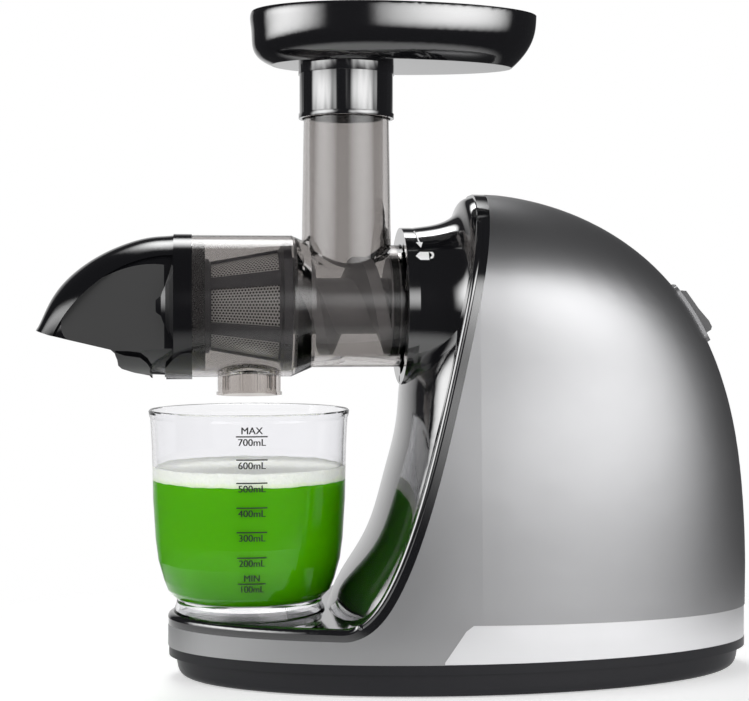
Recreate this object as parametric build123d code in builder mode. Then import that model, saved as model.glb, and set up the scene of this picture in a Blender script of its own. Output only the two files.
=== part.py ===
"""Cold press juicer: one exported solid for each separate piece. Millimetres, +Z up.

The origin is on the floor, on the plane of symmetry and midway along the length. The auger's
axis runs along X. The pulp outlet is at -X and the motor housing at +X.
"""

import os
from math import acos, atan2, cos, pi, radians, sin, sqrt, tan

from build123d import *

os.makedirs("parts", exist_ok=True)

# ---- driving sizes: the body -------------------------------------------------------------
AXIS_Z = 205.0  # height of the auger's axis
PLAN_X = 35.0  # centre of the oval base
PLAN_A = 164.0  # half length of the oval base
PLAN_B = 71.5  # half width of the oval base
CROWN_R = 62.5  # round top of the body, about the auger's axis
BACK_POWER = 3.3  # fullness of the back of the body, seen from the side
BACK_Z = 20.0  # height at which the back starts to lean in
WALL = 3.2  # body shell
FOOT_H = 1.0  # rubber feet below the base plate
PLATE_Z = 18.0  # top of the base plate
SEAM_Z = 30.0  # seam between shell and deck
BAND = 6.6  # rim of the front panel, measured square to the seam
PANEL_WALL = 3.0
SEAM_FOOT_X = -41.8  # where the seam meets the deck
SEAM_LEAN = 18.3
SEAM_SWEEP = 70.0
SEAM_POWER = 0.35
NECK_R = 43.6  # neck that carries the chamber
NECK_X = 6.0  # front face of the neck
TRIM_T = 1.2
TRIM_RECESS = 1.8
TRIM_TOP = 38.6
TRIM_FRONT_X = 15.0

# ---- driving sizes: the chamber ----------------------------------------------------------
DRUM_R = 39.1
DRUM_X0 = -115.3  # front end of the drum
DRUM_X1 = -60.7  # start of the drum's shoulder
DRUM_WALL = 3.1
TUBE_R = 34.0
TUBE_X0 = -49.0  # end of the drum's shoulder
TUBE_BORE = 28.5
CHUTE_X = -29.8
CHUTE_R = 25.0
CHUTE_TOP_R = 23.2
CHUTE_TOP = 333.0
CHUTE_BORE = 20.5
THROAT_Z = AXIS_Z + TUBE_R + 3.0  # below it the chute is a little wider
CUP_X = -83.9
SPOUT_R = 17.4
SPOUT_Z = 156.0
SPOUT_RIBS = 10

# ---- driving sizes: cup and tray ---------------------------------------------------------
CUP_R = 53.6
CUP_TOP = 148.0
CUP_WALL = 2.0
JUICE_Z = 108.4
FOAM_T = 8.0
TRAY_X0 = -82.3
TRAY_X1 = 77.2
TRAY_X = -14.0  # widest station of the tray
TRAY_B = 42.6
TRAY_TOP = 367.0
TRAY_H = 29.0
TRAY_WALL = 2.4

# ---- driving sizes: drive ----------------------------------------------------------------
GEAR_TEETH = 63
PINION_TEETH = 14
SLOW_MODULE = 1.25
FAST_MODULE = 1.0
SLOW_WIDTH = 12.0
FAST_WIDTH = 9.0
PRESSURE = radians(20.0)
BACKLASH = 0.10  # taken from each flank, mm
CASE_X0 = 45.0  # front of the gear case
CASE_X1 = 90.0  # seat of the gear cover
CASE_WALL = 5.0
COVER_T = 4.0
MOTOR_R = 36.0
MOTOR_L = 66.0
SHAFT_R = 8.0
COUNTER_R = 5.0
ROTOR_R = 4.0
RUN = 0.04  # radial clearance of a running fit
GAP = 0.4  # between pieces that move past one another

# ---- positions that follow from them -----------------------------------------------------
BODY_TOP = AXIS_Z + CROWN_R
DECK_Z = SEAM_Z + BAND
COUNTER_Z = AXIS_Z - SLOW_MODULE * (GEAR_TEETH + PINION_TEETH) / 2.0
ROTOR_Z = COUNTER_Z - FAST_MODULE * (GEAR_TEETH + PINION_TEETH) / 2.0
SLOW_X = CASE_X0 + CASE_WALL + 8.0
FAST_X = SLOW_X + SLOW_WIDTH + 6.0
MOTOR_X = CASE_X1 + COVER_T
CUP_Z = DECK_Z + 0.35
MESH_T = 0.4
SIDE = Plane.XZ
LONG = 400.0


# ---- helpers -----------------------------------------------------------------------------
def rod(x0, x1, radius, bore=0.0, z=AXIS_Z, y=0.0, mode=Mode.ADD):
    """A round bar or tube along X."""
    with BuildSketch(Plane.YZ.offset(x0)) as ring:
        with Locations((y, z)):
            Circle(radius)
            if bore:
                Circle(bore, mode=Mode.SUBTRACT)
    extrude(ring.sketch, amount=x1 - x0, mode=mode)


def post(z0, z1, radius, bore=0.0, x=0.0, y=0.0, mode=Mode.ADD):
    """A round bar or tube along Z."""
    with BuildSketch(Plane.XY.offset(z0)) as ring:
        with Locations((x, y)):
            Circle(radius)
            if bore:
                Circle(bore, mode=Mode.SUBTRACT)
    extrude(ring.sketch, amount=z1 - z0, mode=mode)


def turned(points, z=AXIS_Z, mode=Mode.ADD):
    """A turned form about the line along X at height z; points are (x, radius)."""
    with BuildSketch(SIDE) as half:
        with BuildLine():
            Polyline(*[(x, z + r) for x, r in points], close=True)
        make_face()
    revolve(half.sketch, axis=Axis((0, 0, z), (1, 0, 0)), mode=mode)


def side_cut(points, mode):
    """A side view outline, straight through the width."""
    with BuildSketch(SIDE) as view:
        with BuildLine():
            Polyline(*points, close=True)
        make_face()
    extrude(view.sketch, amount=LONG / 2, both=True, mode=mode)


def lean(z):
    """How far up the back of the body a height is, 0 to 1."""
    return min(1.0, max(0.0, (z - BACK_Z) / (BODY_TOP + 0.7 - BACK_Z)))


def back_a(z):
    """Half length of the back half of the body at a height."""
    return PLAN_A * sqrt(1.0 - lean(z) ** BACK_POWER)


def half_w(z):
    """Half width of the body at a height."""
    if z >= AXIS_Z:
        return sqrt(CROWN_R**2 - (z - AXIS_Z) ** 2)
    s = min(1.0, max(0.0, (z - SEAM_Z) / (AXIS_Z - SEAM_Z)))
    return CROWN_R + (PLAN_B - CROWN_R) * (1.0 - s * s * (3.0 - 2.0 * s))


def oval(z, front, back, half, x=PLAN_X):
    """A plan section of two half ellipses that meet at x."""
    with BuildSketch(Plane.XY.offset(z)) as section:
        with BuildLine():
            EllipticalCenterArc((x, 0), back, half, start_angle=-90, arc_size=180)
            EllipticalCenterArc((x, 0), front, half, start_angle=90, arc_size=180)
        make_face()
    return section.sketch


def body_form(low, inset=0.0, mode=Mode.ADD):
    """The whole outer form of the body from a height up, or the same form set in."""
    step = (AXIS_Z - low) / 5.0
    heights = [low + step * i for i in range(5)]
    heights += [AXIS_Z + CROWN_R * sin(radians(a)) for a in (0, 18, 36, 52, 65, 75, 83)]
    scale = (CROWN_R - inset) / CROWN_R
    sections = []
    for z in heights:
        level = z if z < AXIS_Z else AXIS_Z + (z - AXIS_Z) * scale
        back = back_a(z) - inset * min(1.0, back_a(z) / 60)
        sections.append(oval(level, PLAN_A - inset, back, half_w(z) * scale))
    loft(sections, mode=mode)


def seam_point(share, off=0.0):
    """A point of the seam at a share of its height, moved square to the seam towards the front."""
    tall = BODY_TOP - SEAM_Z
    x = SEAM_FOOT_X + SEAM_LEAN * share + SEAM_SWEEP * share**SEAM_POWER
    slope = SEAM_LEAN + SEAM_SWEEP * SEAM_POWER * share ** (SEAM_POWER - 1.0)
    size = sqrt(slope**2 + tall**2)
    return x - off * tall / size, SEAM_Z + tall * share + off * slope / size


def front_region(off, mode):
    """Everything in front of the seam, moved square to it by off."""
    shares = (0.0045, 0.02, 0.05, 0.11, 0.22, 0.4, 0.6, 0.8, 1.0, 1.12)
    points = [seam_point(s, off) for s in shares]
    with BuildSketch(SIDE) as view:
        with BuildLine():
            Spline(*points)
            Line(points[-1], (-LONG, points[-1][1]))
            Line((-LONG, points[-1][1]), (-LONG, SEAM_Z + off))
            Line((-LONG, SEAM_Z + off), (points[0][0] - 14.0, SEAM_Z + off))
            Spline((points[0][0] - 14.0, SEAM_Z + off), points[0],
                   tangents=((1, 0), (points[1][0] - points[0][0], points[1][1] - points[0][1])))
        make_face()
    extrude(view.sketch, amount=LONG / 2, both=True, mode=mode)


def face_x(z):
    """X of the front face of the panel's rim at a height."""
    best = min((abs(seam_point(i / 400.0, BAND)[1] - z), seam_point(i / 400.0, BAND)[0])
               for i in range(1, 420))
    return best[1]


def involute(angle):
    """Involute function."""
    return tan(angle) - angle


def gear_form(x, width, teeth, module, bore, z, tooth_at, tip=1.0):
    """A spur gear along X with one tooth centred on the given angle, from +Y towards +Z."""
    pitch_r = module * teeth / 2.0
    base_r = pitch_r * cos(PRESSURE)
    half = pi / (2 * teeth) - BACKLASH / pitch_r + involute(PRESSURE)
    radii = (pitch_r - 1.25 * module, max(base_r, pitch_r - 0.75 * module), pitch_r, pitch_r + tip * module)
    flank = [(r, half - involute(acos(min(1.0, base_r / r)))) for r in radii]
    points = []
    for tooth in range(teeth):
        middle = radians(tooth_at) + 2 * pi * tooth / teeth
        points += [(r * cos(middle - a), z + r * sin(middle - a)) for r, a in flank]
        points += [(r * cos(middle + a), z + r * sin(middle + a)) for r, a in reversed(flank)]
    with BuildSketch(Plane.YZ.offset(x)) as wheel:
        with BuildLine():
            Polyline(*points, close=True)
        make_face()
        with Locations((0, z)):
            Circle(bore, mode=Mode.SUBTRACT)
    extrude(wheel.sketch, amount=width)


CASE_TOP_R = SLOW_MODULE * GEAR_TEETH / 2 + 5.5
CASE_LOW_R = MOTOR_R + 4.0
CASE_EARS = [(side * (CASE_TOP_R + 1.5) * cos(radians(25)), AXIS_Z + CASE_TOP_R * sin(radians(25)))
             for side in (-1, 1)]
CASE_EARS += [(side * (CASE_LOW_R + 1.5) * cos(radians(35)), ROTOR_Z - CASE_LOW_R * sin(radians(35)))
              for side in (-1, 1)]


def case_outline(grow):
    """Outline of the gear case in the YZ plane, with four screw ears."""
    with Locations((0, AXIS_Z)):
        Circle(CASE_TOP_R + grow)
    with Locations((0, ROTOR_Z)):
        Circle(CASE_LOW_R + grow)
    make_hull()
    with Locations(*CASE_EARS):
        Circle(4.6 + grow)


# ---- body shell --------------------------------------------------------------------------
SWITCH_Z = AXIS_Z - 4.5
SWITCH_LONG = 37.0
SWITCH_WIDE = 25.0
SWITCH_X = PLAN_X + (back_a(SWITCH_Z - 19) + back_a(SWITCH_Z + 19)) / 2.0
SWITCH_DX = back_a(SWITCH_Z - 19) - back_a(SWITCH_Z + 19)
SWITCH_SPAN = sqrt(38.0**2 + SWITCH_DX**2)
SWITCH = Plane(origin=(SWITCH_X, 0, SWITCH_Z), x_dir=(0, 1, 0),
               z_dir=(38.0 / SWITCH_SPAN, 0, SWITCH_DX / SWITCH_SPAN))
TRIM_SIDE = (
    (TRIM_FRONT_X, PLATE_Z - 5),
    (TRIM_FRONT_X, PLATE_Z + 1.5),
    (TRIM_FRONT_X + 11.0, TRIM_TOP - 3.0),
    (TRIM_FRONT_X + 15.0, TRIM_TOP),
    (TRIM_FRONT_X + 70.0, TRIM_TOP - 0.8),
    (LONG, TRIM_TOP - 6.0),
    (LONG, PLATE_Z - 5),
)
BOSS_SPOTS = [(PLAN_X + (PLAN_A - 15.0) * cos(a), (PLAN_B - 11.0) * sin(a))
              for a in (radians(28), radians(75), radians(152), radians(-28), radians(-75), radians(-152))]
BOSSES = [Location((x, y, PLATE_Z), (0, 0, atan2(y, x - PLAN_X) * 180 / pi)) for x, y in BOSS_SPOTS]

with BuildPart() as trim_pocket:
    body_form(PLATE_Z)
    side_cut(TRIM_SIDE, Mode.INTERSECT)
    body_form(PLATE_Z, TRIM_RECESS, mode=Mode.SUBTRACT)

with BuildPart() as body_shell:
    body_form(PLATE_Z)
    body_form(PLATE_Z, WALL, mode=Mode.SUBTRACT)
    with Locations(*BOSSES):
        Cylinder(5.0, 13.0, align=(Align.CENTER, Align.CENTER, Align.MIN))
        Box(24.0, 3.0, 12.0, align=(Align.MIN, Align.CENTER, Align.MIN))
        Cylinder(1.5, 12.0, align=(Align.CENTER, Align.CENTER, Align.MIN), mode=Mode.SUBTRACT)
    body_form(PLATE_Z, mode=Mode.INTERSECT)
    front_region(0.0, Mode.SUBTRACT)
    add(trim_pocket.part, mode=Mode.SUBTRACT)
    with BuildSketch(SWITCH.offset(-9)):
        Rectangle(SWITCH_WIDE - 5.0, SWITCH_LONG - 6.0)
    extrude(amount=14, mode=Mode.SUBTRACT)
body_shell.part.label = "body_shell"
export_step(body_shell.part, "parts/body_shell.step")

# ---- silver trim band --------------------------------------------------------------------
with BuildPart() as trim_band:
    body_form(PLATE_Z, TRIM_RECESS - TRIM_T)
    body_form(PLATE_Z, TRIM_RECESS, mode=Mode.SUBTRACT)
    side_cut(TRIM_SIDE, Mode.INTERSECT)
trim_band.part.label = "trim_band"
export_step(trim_band.part, "parts/trim_band.step")

# ---- front panel: rim, face, stem, neck and deck -----------------------------------------
STEM = ((36.0, -40.4), (52.0, -33.0), (68.0, -22.6), (90.0, -12.8), (124.0, -3.8), (150.0, 0.2),
        (166.0, 1.8), (181.0, 10.0), (195.0, 23.0))
NECK = (
    (NECK_X, NECK_R - 0.2),
    (NECK_X + 11.0, NECK_R + 1.4),
    (NECK_X + 20.0, NECK_R + 4.2),
    (NECK_X + 25.5, NECK_R + 8.6),
    (NECK_X + 28.5, NECK_R + 15.0),
    (NECK_X + 32.0, NECK_R + 17.0),
    (NECK_X + 38.0, CROWN_R - 0.8),
)


def stem_form(inset, top):
    """The nose of the front panel, from the deck to the neck."""
    sections = []
    for z, nose in STEM:
        level = min(z, top)
        middle = face_x(max(level, DECK_Z + 12.0)) + 5.0
        half = half_w(level) - 8.0 - inset
        with BuildSketch(Plane.XY.offset(level)) as section:
            with BuildLine():
                EllipticalCenterArc((middle, 0), middle - nose - inset, half, start_angle=90, arc_size=180)
                Line((middle, -half), (middle, half))
            make_face()
        sections.append(section.sketch)
    loft(sections)


with BuildPart() as panel_rim:
    body_form(PLATE_Z)
    front_region(0.0, Mode.INTERSECT)
    front_region(BAND, Mode.SUBTRACT)
    fillet(panel_rim.edges().sort_by_distance((PLAN_X - PLAN_A, 0, DECK_Z))[0], radius=BAND / 2.2)

with BuildPart() as panel_hollow:
    body_form(PLATE_Z, WALL)
    front_region(-1.0, Mode.INTERSECT)
    front_region(BAND - PANEL_WALL, Mode.SUBTRACT)

with BuildPart() as stem_hollow:
    stem_form(PANEL_WALL, AXIS_Z)
    rod(-60, NECK_X + 90, NECK_R - 0.5, mode=Mode.SUBTRACT)

with BuildPart() as neck_solid:
    with BuildSketch(SIDE):
        with BuildLine():
            Spline(*[(x, AXIS_Z + r) for x, r in NECK])
            Line((NECK[-1][0], AXIS_Z + NECK[-1][1]), (NECK[-1][0], AXIS_Z))
            Line((NECK[-1][0], AXIS_Z), (NECK_X, AXIS_Z))
            Line((NECK_X, AXIS_Z), (NECK_X, AXIS_Z + NECK[0][1]))
        make_face()
    revolve(axis=Axis((0, 0, AXIS_Z), (1, 0, 0)))
    side_cut([seam_point(0.3), seam_point(0.45), seam_point(0.6), seam_point(0.8), seam_point(0.95),
              seam_point(1.12), (-LONG, 300), (-LONG, seam_point(0.3)[1])], Mode.INTERSECT)

with BuildPart() as front_panel:
    add(panel_rim.part)
    stem_form(0.0, AXIS_Z)
    add(neck_solid.part)
    front_region(0.0, Mode.INTERSECT)
    add(panel_hollow.part, mode=Mode.SUBTRACT)
    add(stem_hollow.part, mode=Mode.SUBTRACT)
    rod(NECK_X + 2.0 + PANEL_WALL, NECK_X + 60, NECK_R - 3.0, mode=Mode.SUBTRACT)
    rod(NECK_X - 1, NECK_X + 60, 15.0, mode=Mode.SUBTRACT)
    rod(NECK_X - 8, NECK_X + 2.0, NECK_R - 8.0, mode=Mode.SUBTRACT)
    rod(-90, NECK_X, NECK_R + 0.3, mode=Mode.SUBTRACT)
front_panel.part.label = "front_panel"
export_step(front_panel.part, "parts/front_panel.step")

# ---- base plate, feet and their screws ---------------------------------------------------
FLANGE_Z = PLATE_Z - 5.2
FLOOR_Z = FOOT_H + 3.0
FEET = [(x, y) for x in (PLAN_X - 108.0, PLAN_X + 112.0) for y in (-26.0, 26.0)] + [(PLAN_X - 5.0, 0.0)]
RIB_X = (CASE_X0 + 12.0, CASE_X0 + 36.0)


def plan(z, inset, end=0.0):
    """The oval of the base at a height, set in all round and a little more at its ends."""
    return oval(z, PLAN_A - inset - end, PLAN_A - inset - end, PLAN_B - inset)


with BuildPart() as base_plate:
    loft([plan(FOOT_H, 3.4, 6.6), plan(FOOT_H + 1.2, 2.6, 5.0), plan(FOOT_H + 4.5, 2.1, 3.4),
          plan(FLANGE_Z + 0.2, 1.9, 2.8)])
    extrude(plan(FLANGE_Z, 0.5), amount=PLATE_Z - FLANGE_Z)
    extrude(plan(FLOOR_Z, 10.0), amount=PLATE_Z, mode=Mode.SUBTRACT)
    extrude(plan(PLATE_Z - 4.0, WALL + 0.8), amount=10.0)
    extrude(plan(PLATE_Z - 5.0, WALL + 2.8), amount=12.0, mode=Mode.SUBTRACT)
    extrude(plan(FLOOR_Z, 10.0), amount=PLATE_Z - 5.0 - FLOOR_Z, mode=Mode.SUBTRACT)
    for x, y in BOSS_SPOTS:
        post(FLOOR_Z - 1.0, PLATE_Z, 5.0, x=x, y=y)
        post(PLATE_Z, PLATE_Z + 9.0, 13.5, x=x, y=y, mode=Mode.SUBTRACT)
        post(0, PLATE_Z + 1.0, 1.8, x=x, y=y, mode=Mode.SUBTRACT)
        post(0, FLOOR_Z + 1.0, 3.6, x=x, y=y, mode=Mode.SUBTRACT)
    for x in RIB_X:
        with BuildSketch(Plane.YZ.offset(x)) as rib:
            with Locations((0, (FLOOR_Z + ROTOR_Z - 20.0) / 2)):
                Rectangle(46.0, ROTOR_Z - 20.0 - FLOOR_Z)
        extrude(rib.sketch, amount=4.0)
    rod(RIB_X[0] - 5, RIB_X[1] + 9, CASE_LOW_R + 0.2, z=ROTOR_Z, mode=Mode.SUBTRACT)
    for x, y in FEET:
        post(FOOT_H - 0.1, FOOT_H + 1.4, 8.0, x=x, y=y, mode=Mode.SUBTRACT)
    post(0, FLOOR_Z + 1, 6.0, x=PLAN_X + 135.0, mode=Mode.SUBTRACT)
base_plate.part.label = "base_plate"
export_step(base_plate.part, "parts/base_plate.step")

with BuildPart() as rubber_feet:
    for x, y in FEET:
        post(0.0, FOOT_H + 1.4, 8.0, x=x, y=y)
rubber_feet.part.label = "rubber_feet"
export_step(rubber_feet.part, "parts/rubber_feet.step")

with BuildPart() as base_screws:
    for x, y in BOSS_SPOTS:
        post(FOOT_H + 1.4, FLOOR_Z + 1.0, 3.2, x=x, y=y)
        post(FLOOR_Z + 1.0, PLATE_Z + 8.0, 1.5, x=x, y=y)
base_screws.part.label = "base_screws"
export_step(base_screws.part, "parts/base_screws.step")

with BuildPart() as cord_gland:
    post(FOOT_H - 0.6, FLOOR_Z + 1.8, 8.6, 3.6, x=PLAN_X + 135.0)
    post(FOOT_H, FLOOR_Z, 9.0, 6.0, x=PLAN_X + 135.0, mode=Mode.SUBTRACT)
cord_gland.part.label = "cord_gland"
export_step(cord_gland.part, "parts/cord_gland.step")

# ---- bayonet collar ----------------------------------------------------------------------
LUG_R = TUBE_R + 3.6
LUG_X0 = 2.6
LUG_X1 = 5.2
LUG_TURNS = (90.0, 210.0, 330.0)
TWIST = 40.0  # turn that frees the chamber
SCREW_R = NECK_R - 2.9


def wedge(x0, x1, radius, middle, spread, mode=Mode.ADD):
    """A sector about the auger's axis, between two stations along X."""
    steps = [radians(middle - spread + spread * i / 3.0) for i in range(7)]
    reach = radius / cos(radians(spread / 3.0))
    points = [(0.0, AXIS_Z)] + [(reach * cos(a), AXIS_Z + reach * sin(a)) for a in steps]
    with BuildSketch(Plane.YZ.offset(x0)) as sector:
        with BuildLine():
            Polyline(*points, close=True)
        make_face()
    extrude(sector.sketch, amount=x1 - x0, mode=mode)


with BuildPart() as lug_notches:
    for middle in LUG_TURNS:
        wedge(-1.0, LUG_X0, LUG_R + GAP, middle + TWIST, 15.0)
    rod(-2.0, LUG_X1, TUBE_R, mode=Mode.SUBTRACT)

with BuildPart() as collar_ring:
    rod(0.0, NECK_X, NECK_R, TUBE_R + GAP)
    rod(LUG_X0 - GAP, NECK_X, LUG_R + GAP, mode=Mode.SUBTRACT)
    add(lug_notches.part, mode=Mode.SUBTRACT)
    for turn in (30.0, 150.0, 270.0):
        y, z = SCREW_R * cos(radians(turn)), SCREW_R * sin(radians(turn))
        rod(-1.0, NECK_X + 1.0, 1.1, y=y, z=AXIS_Z + z, mode=Mode.SUBTRACT)
        rod(-1.0, 1.6, 1.9, y=y, z=AXIS_Z + z, mode=Mode.SUBTRACT)
collar_ring.part.label = "collar_ring"
export_step(collar_ring.part, "parts/collar_ring.step")

# ---- gear case, cover and their small pieces ---------------------------------------------
BUSH_OUT = SHAFT_R + 3.2
COUNTER_OUT = COUNTER_R + 3.0
TAIL_R = 6.0
SNOUT_R = 14.6
NECK_WALL_X = NECK_X + 2.0
SEAT_X = NECK_WALL_X + PANEL_WALL

with BuildPart() as gear_case:
    with BuildSketch(Plane.YZ.offset(CASE_X0)):
        case_outline(0.0)
    extrude(amount=CASE_X1 - CASE_X0)
    with BuildSketch(Plane.YZ.offset(CASE_X0 + CASE_WALL)):
        case_outline(-3.0)
    extrude(amount=CASE_X1 - CASE_X0, mode=Mode.SUBTRACT)
    rod(SEAT_X, CASE_X0 + CASE_WALL, SNOUT_R)
    rod(CASE_X0 - 4.0, CASE_X0 + CASE_WALL + 1.5, COUNTER_OUT + 4.0, z=COUNTER_Z)
    rod(SEAT_X + 3.0, CASE_X0 + CASE_WALL + 1.0, BUSH_OUT, mode=Mode.SUBTRACT)
    rod(SEAT_X - 1.0, SEAT_X + 4.0, SHAFT_R + 1.0, mode=Mode.SUBTRACT)
    rod(CASE_X0 - 1.0, CASE_X0 + CASE_WALL + 2.0, COUNTER_OUT, z=COUNTER_Z, mode=Mode.SUBTRACT)
gear_case.part.label = "gear_case"
export_step(gear_case.part, "parts/gear_case.step")

with BuildPart() as gear_cover:
    with BuildSketch(Plane.YZ.offset(CASE_X1)):
        case_outline(0.0)
    extrude(amount=COVER_T)
    rod(CASE_X1, CASE_X1 + COVER_T + 5.0, BUSH_OUT + 2.0)
    rod(CASE_X1 - 1.0, CASE_X1 + COVER_T + 3.0, TAIL_R + 3.0, mode=Mode.SUBTRACT)
    rod(CASE_X1 - 1.0, CASE_X1 + COVER_T - 1.0, COUNTER_OUT, z=COUNTER_Z, mode=Mode.SUBTRACT)
    rod(CASE_X1 - 1.0, CASE_X1 + COVER_T + 1.0, 12.0, z=ROTOR_Z, mode=Mode.SUBTRACT)
    for y, z in CASE_EARS:
        rod(CASE_X1 - 1.0, CASE_X1 + COVER_T + 1.0, 1.6, y=y, z=z, mode=Mode.SUBTRACT)
gear_cover.part.label = "gear_cover"
export_step(gear_cover.part, "parts/gear_cover.step")

with BuildPart() as case_screws:
    for y, z in CASE_EARS:
        rod(CASE_X1 + COVER_T, CASE_X1 + COVER_T + 2.2, 3.0, y=y, z=z)
        rod(CASE_X0 + CASE_WALL + 14.0, CASE_X1 + COVER_T, 1.5, y=y, z=z)
case_screws.part.label = "case_screws"
export_step(case_screws.part, "parts/case_screws.step")

with BuildPart() as output_bushes:
    rod(SEAT_X + 3.0, SEAT_X + 19.0, BUSH_OUT, SHAFT_R + RUN)
    rod(CASE_X1 + 0.2, CASE_X1 + COVER_T + 3.0, TAIL_R + 3.0, TAIL_R + RUN)
output_bushes.part.label = "output_bushes"
export_step(output_bushes.part, "parts/output_bushes.step")

with BuildPart() as counter_bushes:
    rod(CASE_X0, CASE_X0 + CASE_WALL + 1.5, COUNTER_OUT, COUNTER_R + RUN, z=COUNTER_Z)
    rod(CASE_X1, CASE_X1 + COVER_T - 1.0, COUNTER_OUT, COUNTER_R + RUN, z=COUNTER_Z)
counter_bushes.part.label = "counter_bushes"
export_step(counter_bushes.part, "parts/counter_bushes.step")

with BuildPart() as shaft_seal:
    turned(((NECK_WALL_X, SHAFT_R + 0.4), (SEAT_X, SHAFT_R + 0.4), (SEAT_X, 15.0), (NECK_WALL_X, 15.0)))
    rod(NECK_WALL_X - 1.0, NECK_WALL_X, 17.0, SHAFT_R + 0.4)
shaft_seal.part.label = "shaft_seal"
export_step(shaft_seal.part, "parts/shaft_seal.step")

with BuildPart() as collar_screws:
    for turn in (30.0, 150.0, 270.0):
        y, z = SCREW_R * cos(radians(turn)), SCREW_R * sin(radians(turn))
        rod(0.2, 1.6, 1.8, y=y, z=AXIS_Z + z)
        rod(1.6, NECK_X, 1.05, y=y, z=AXIS_Z + z)
collar_screws.part.label = "collar_screws"
export_step(collar_screws.part, "parts/collar_screws.step")

# ---- shafts and gears --------------------------------------------------------------------
DRIVE_X = -21.0  # front end of the hexagon drive
HEX_R = 7.0  # half the width across flats

with BuildPart() as output_shaft:
    rod(2.0, CASE_X1 - 1.0, SHAFT_R)
    rod(CASE_X1 - 1.0, CASE_X1 + COVER_T + 2.4, TAIL_R)
    rod(SLOW_X - 2.6, SLOW_X - 0.1, SHAFT_R + 2.0)
    with BuildSketch(Plane.YZ.offset(DRIVE_X)) as hexagon:
        with Locations((0, AXIS_Z)):
            RegularPolygon(HEX_R, 6, major_radius=False)
    extrude(hexagon.sketch, amount=2.0 - DRIVE_X)
output_shaft.part.label = "output_shaft"
export_step(output_shaft.part, "parts/output_shaft.step")

with BuildPart() as output_gear:
    gear_form(SLOW_X, SLOW_WIDTH, GEAR_TEETH, SLOW_MODULE, SHAFT_R, AXIS_Z, -90.0, tip=0.8)
    for turn in range(6):
        y, z = 23.0 * cos(radians(60 * turn)), 23.0 * sin(radians(60 * turn))
        rod(SLOW_X - 1.0, SLOW_X + SLOW_WIDTH + 1.0, 6.0, y=y, z=AXIS_Z + z, mode=Mode.SUBTRACT)
    rod(SLOW_X + SLOW_WIDTH - 0.1, SLOW_X + SLOW_WIDTH + 3.0, SHAFT_R + 4.0, SHAFT_R)
output_gear.part.label = "output_gear"
export_step(output_gear.part, "parts/output_gear.step")

with BuildPart() as counter_shaft:
    rod(CASE_X0 + 0.3, CASE_X1 + COVER_T - 1.3, COUNTER_R, z=COUNTER_Z)
counter_shaft.part.label = "counter_shaft"
export_step(counter_shaft.part, "parts/counter_shaft.step")

with BuildPart() as counter_pinion:
    gear_form(SLOW_X - 1.0, FAST_X - SLOW_X + 0.6, PINION_TEETH, SLOW_MODULE, COUNTER_R, COUNTER_Z,
              90.0 + 180.0 / PINION_TEETH)
counter_pinion.part.label = "counter_pinion"
export_step(counter_pinion.part, "parts/counter_pinion.step")

with BuildPart() as counter_gear:
    gear_form(FAST_X, FAST_WIDTH, GEAR_TEETH, FAST_MODULE, COUNTER_R, COUNTER_Z, -90.0, tip=0.8)
    for turn in range(5):
        y, z = 18.0 * cos(radians(72 * turn)), 18.0 * sin(radians(72 * turn))
        rod(FAST_X - 1.0, FAST_X + FAST_WIDTH + 1.0, 5.0, y=y, z=COUNTER_Z + z, mode=Mode.SUBTRACT)
counter_gear.part.label = "counter_gear"
export_step(counter_gear.part, "parts/counter_gear.step")

# ---- motor -------------------------------------------------------------------------------
CAN_X1 = MOTOR_X + MOTOR_L
BELL_X1 = CAN_X1 + 7.0
BEARING_R = 9.5
BEARING_W = 6.0
STACK_X0 = MOTOR_X + 12.0
STACK_X1 = STACK_X0 + 34.0
BORE_R = 21.5
AIR = 0.6

with BuildPart() as motor_pinion:
    gear_form(FAST_X - 1.0, FAST_WIDTH + 2.0, PINION_TEETH, FAST_MODULE, ROTOR_R, ROTOR_Z,
              90.0 + 180.0 / PINION_TEETH)
motor_pinion.part.label = "motor_pinion"
export_step(motor_pinion.part, "parts/motor_pinion.step")

with BuildPart() as rotor_shaft:
    rod(FAST_X - 2.5, BELL_X1 + 12.0, ROTOR_R, z=ROTOR_Z)
rotor_shaft.part.label = "rotor_shaft"
export_step(rotor_shaft.part, "parts/rotor_shaft.step")

with BuildPart() as armature_core:
    rod(STACK_X0, STACK_X1, BORE_R - AIR, ROTOR_R, z=ROTOR_Z)
    for turn in range(12):
        y, z = BORE_R * cos(radians(30 * turn)), BORE_R * sin(radians(30 * turn))
        rod(STACK_X0 - 1.0, STACK_X1 + 1.0, 2.0, y=y, z=ROTOR_Z + z, mode=Mode.SUBTRACT)
armature_core.part.label = "armature_core"
export_step(armature_core.part, "parts/armature_core.step")

with BuildPart() as commutator:
    rod(STACK_X1 + 6.0, STACK_X1 + 16.0, 10.0, ROTOR_R, z=ROTOR_Z)
commutator.part.label = "commutator"
export_step(commutator.part, "parts/commutator.step")

with BuildPart() as motor_can:
    rod(MOTOR_X, CAN_X1, MOTOR_R, MOTOR_R - 1.6, z=ROTOR_Z)
    rod(MOTOR_X, MOTOR_X + 2.4, MOTOR_R, BEARING_R, z=ROTOR_Z)
    rod(MOTOR_X, MOTOR_X + BEARING_W + 1.0, BEARING_R + 2.4, BEARING_R, z=ROTOR_Z)
    for turn in range(4):
        y, z = MOTOR_R * cos(radians(90 * turn)), MOTOR_R * sin(radians(90 * turn))
        rod(STACK_X1 + 4.0, STACK_X1 + 14.0, 5.0, y=y, z=ROTOR_Z + z, mode=Mode.SUBTRACT)
motor_can.part.label = "motor_can"
export_step(motor_can.part, "parts/motor_can.step")

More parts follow.
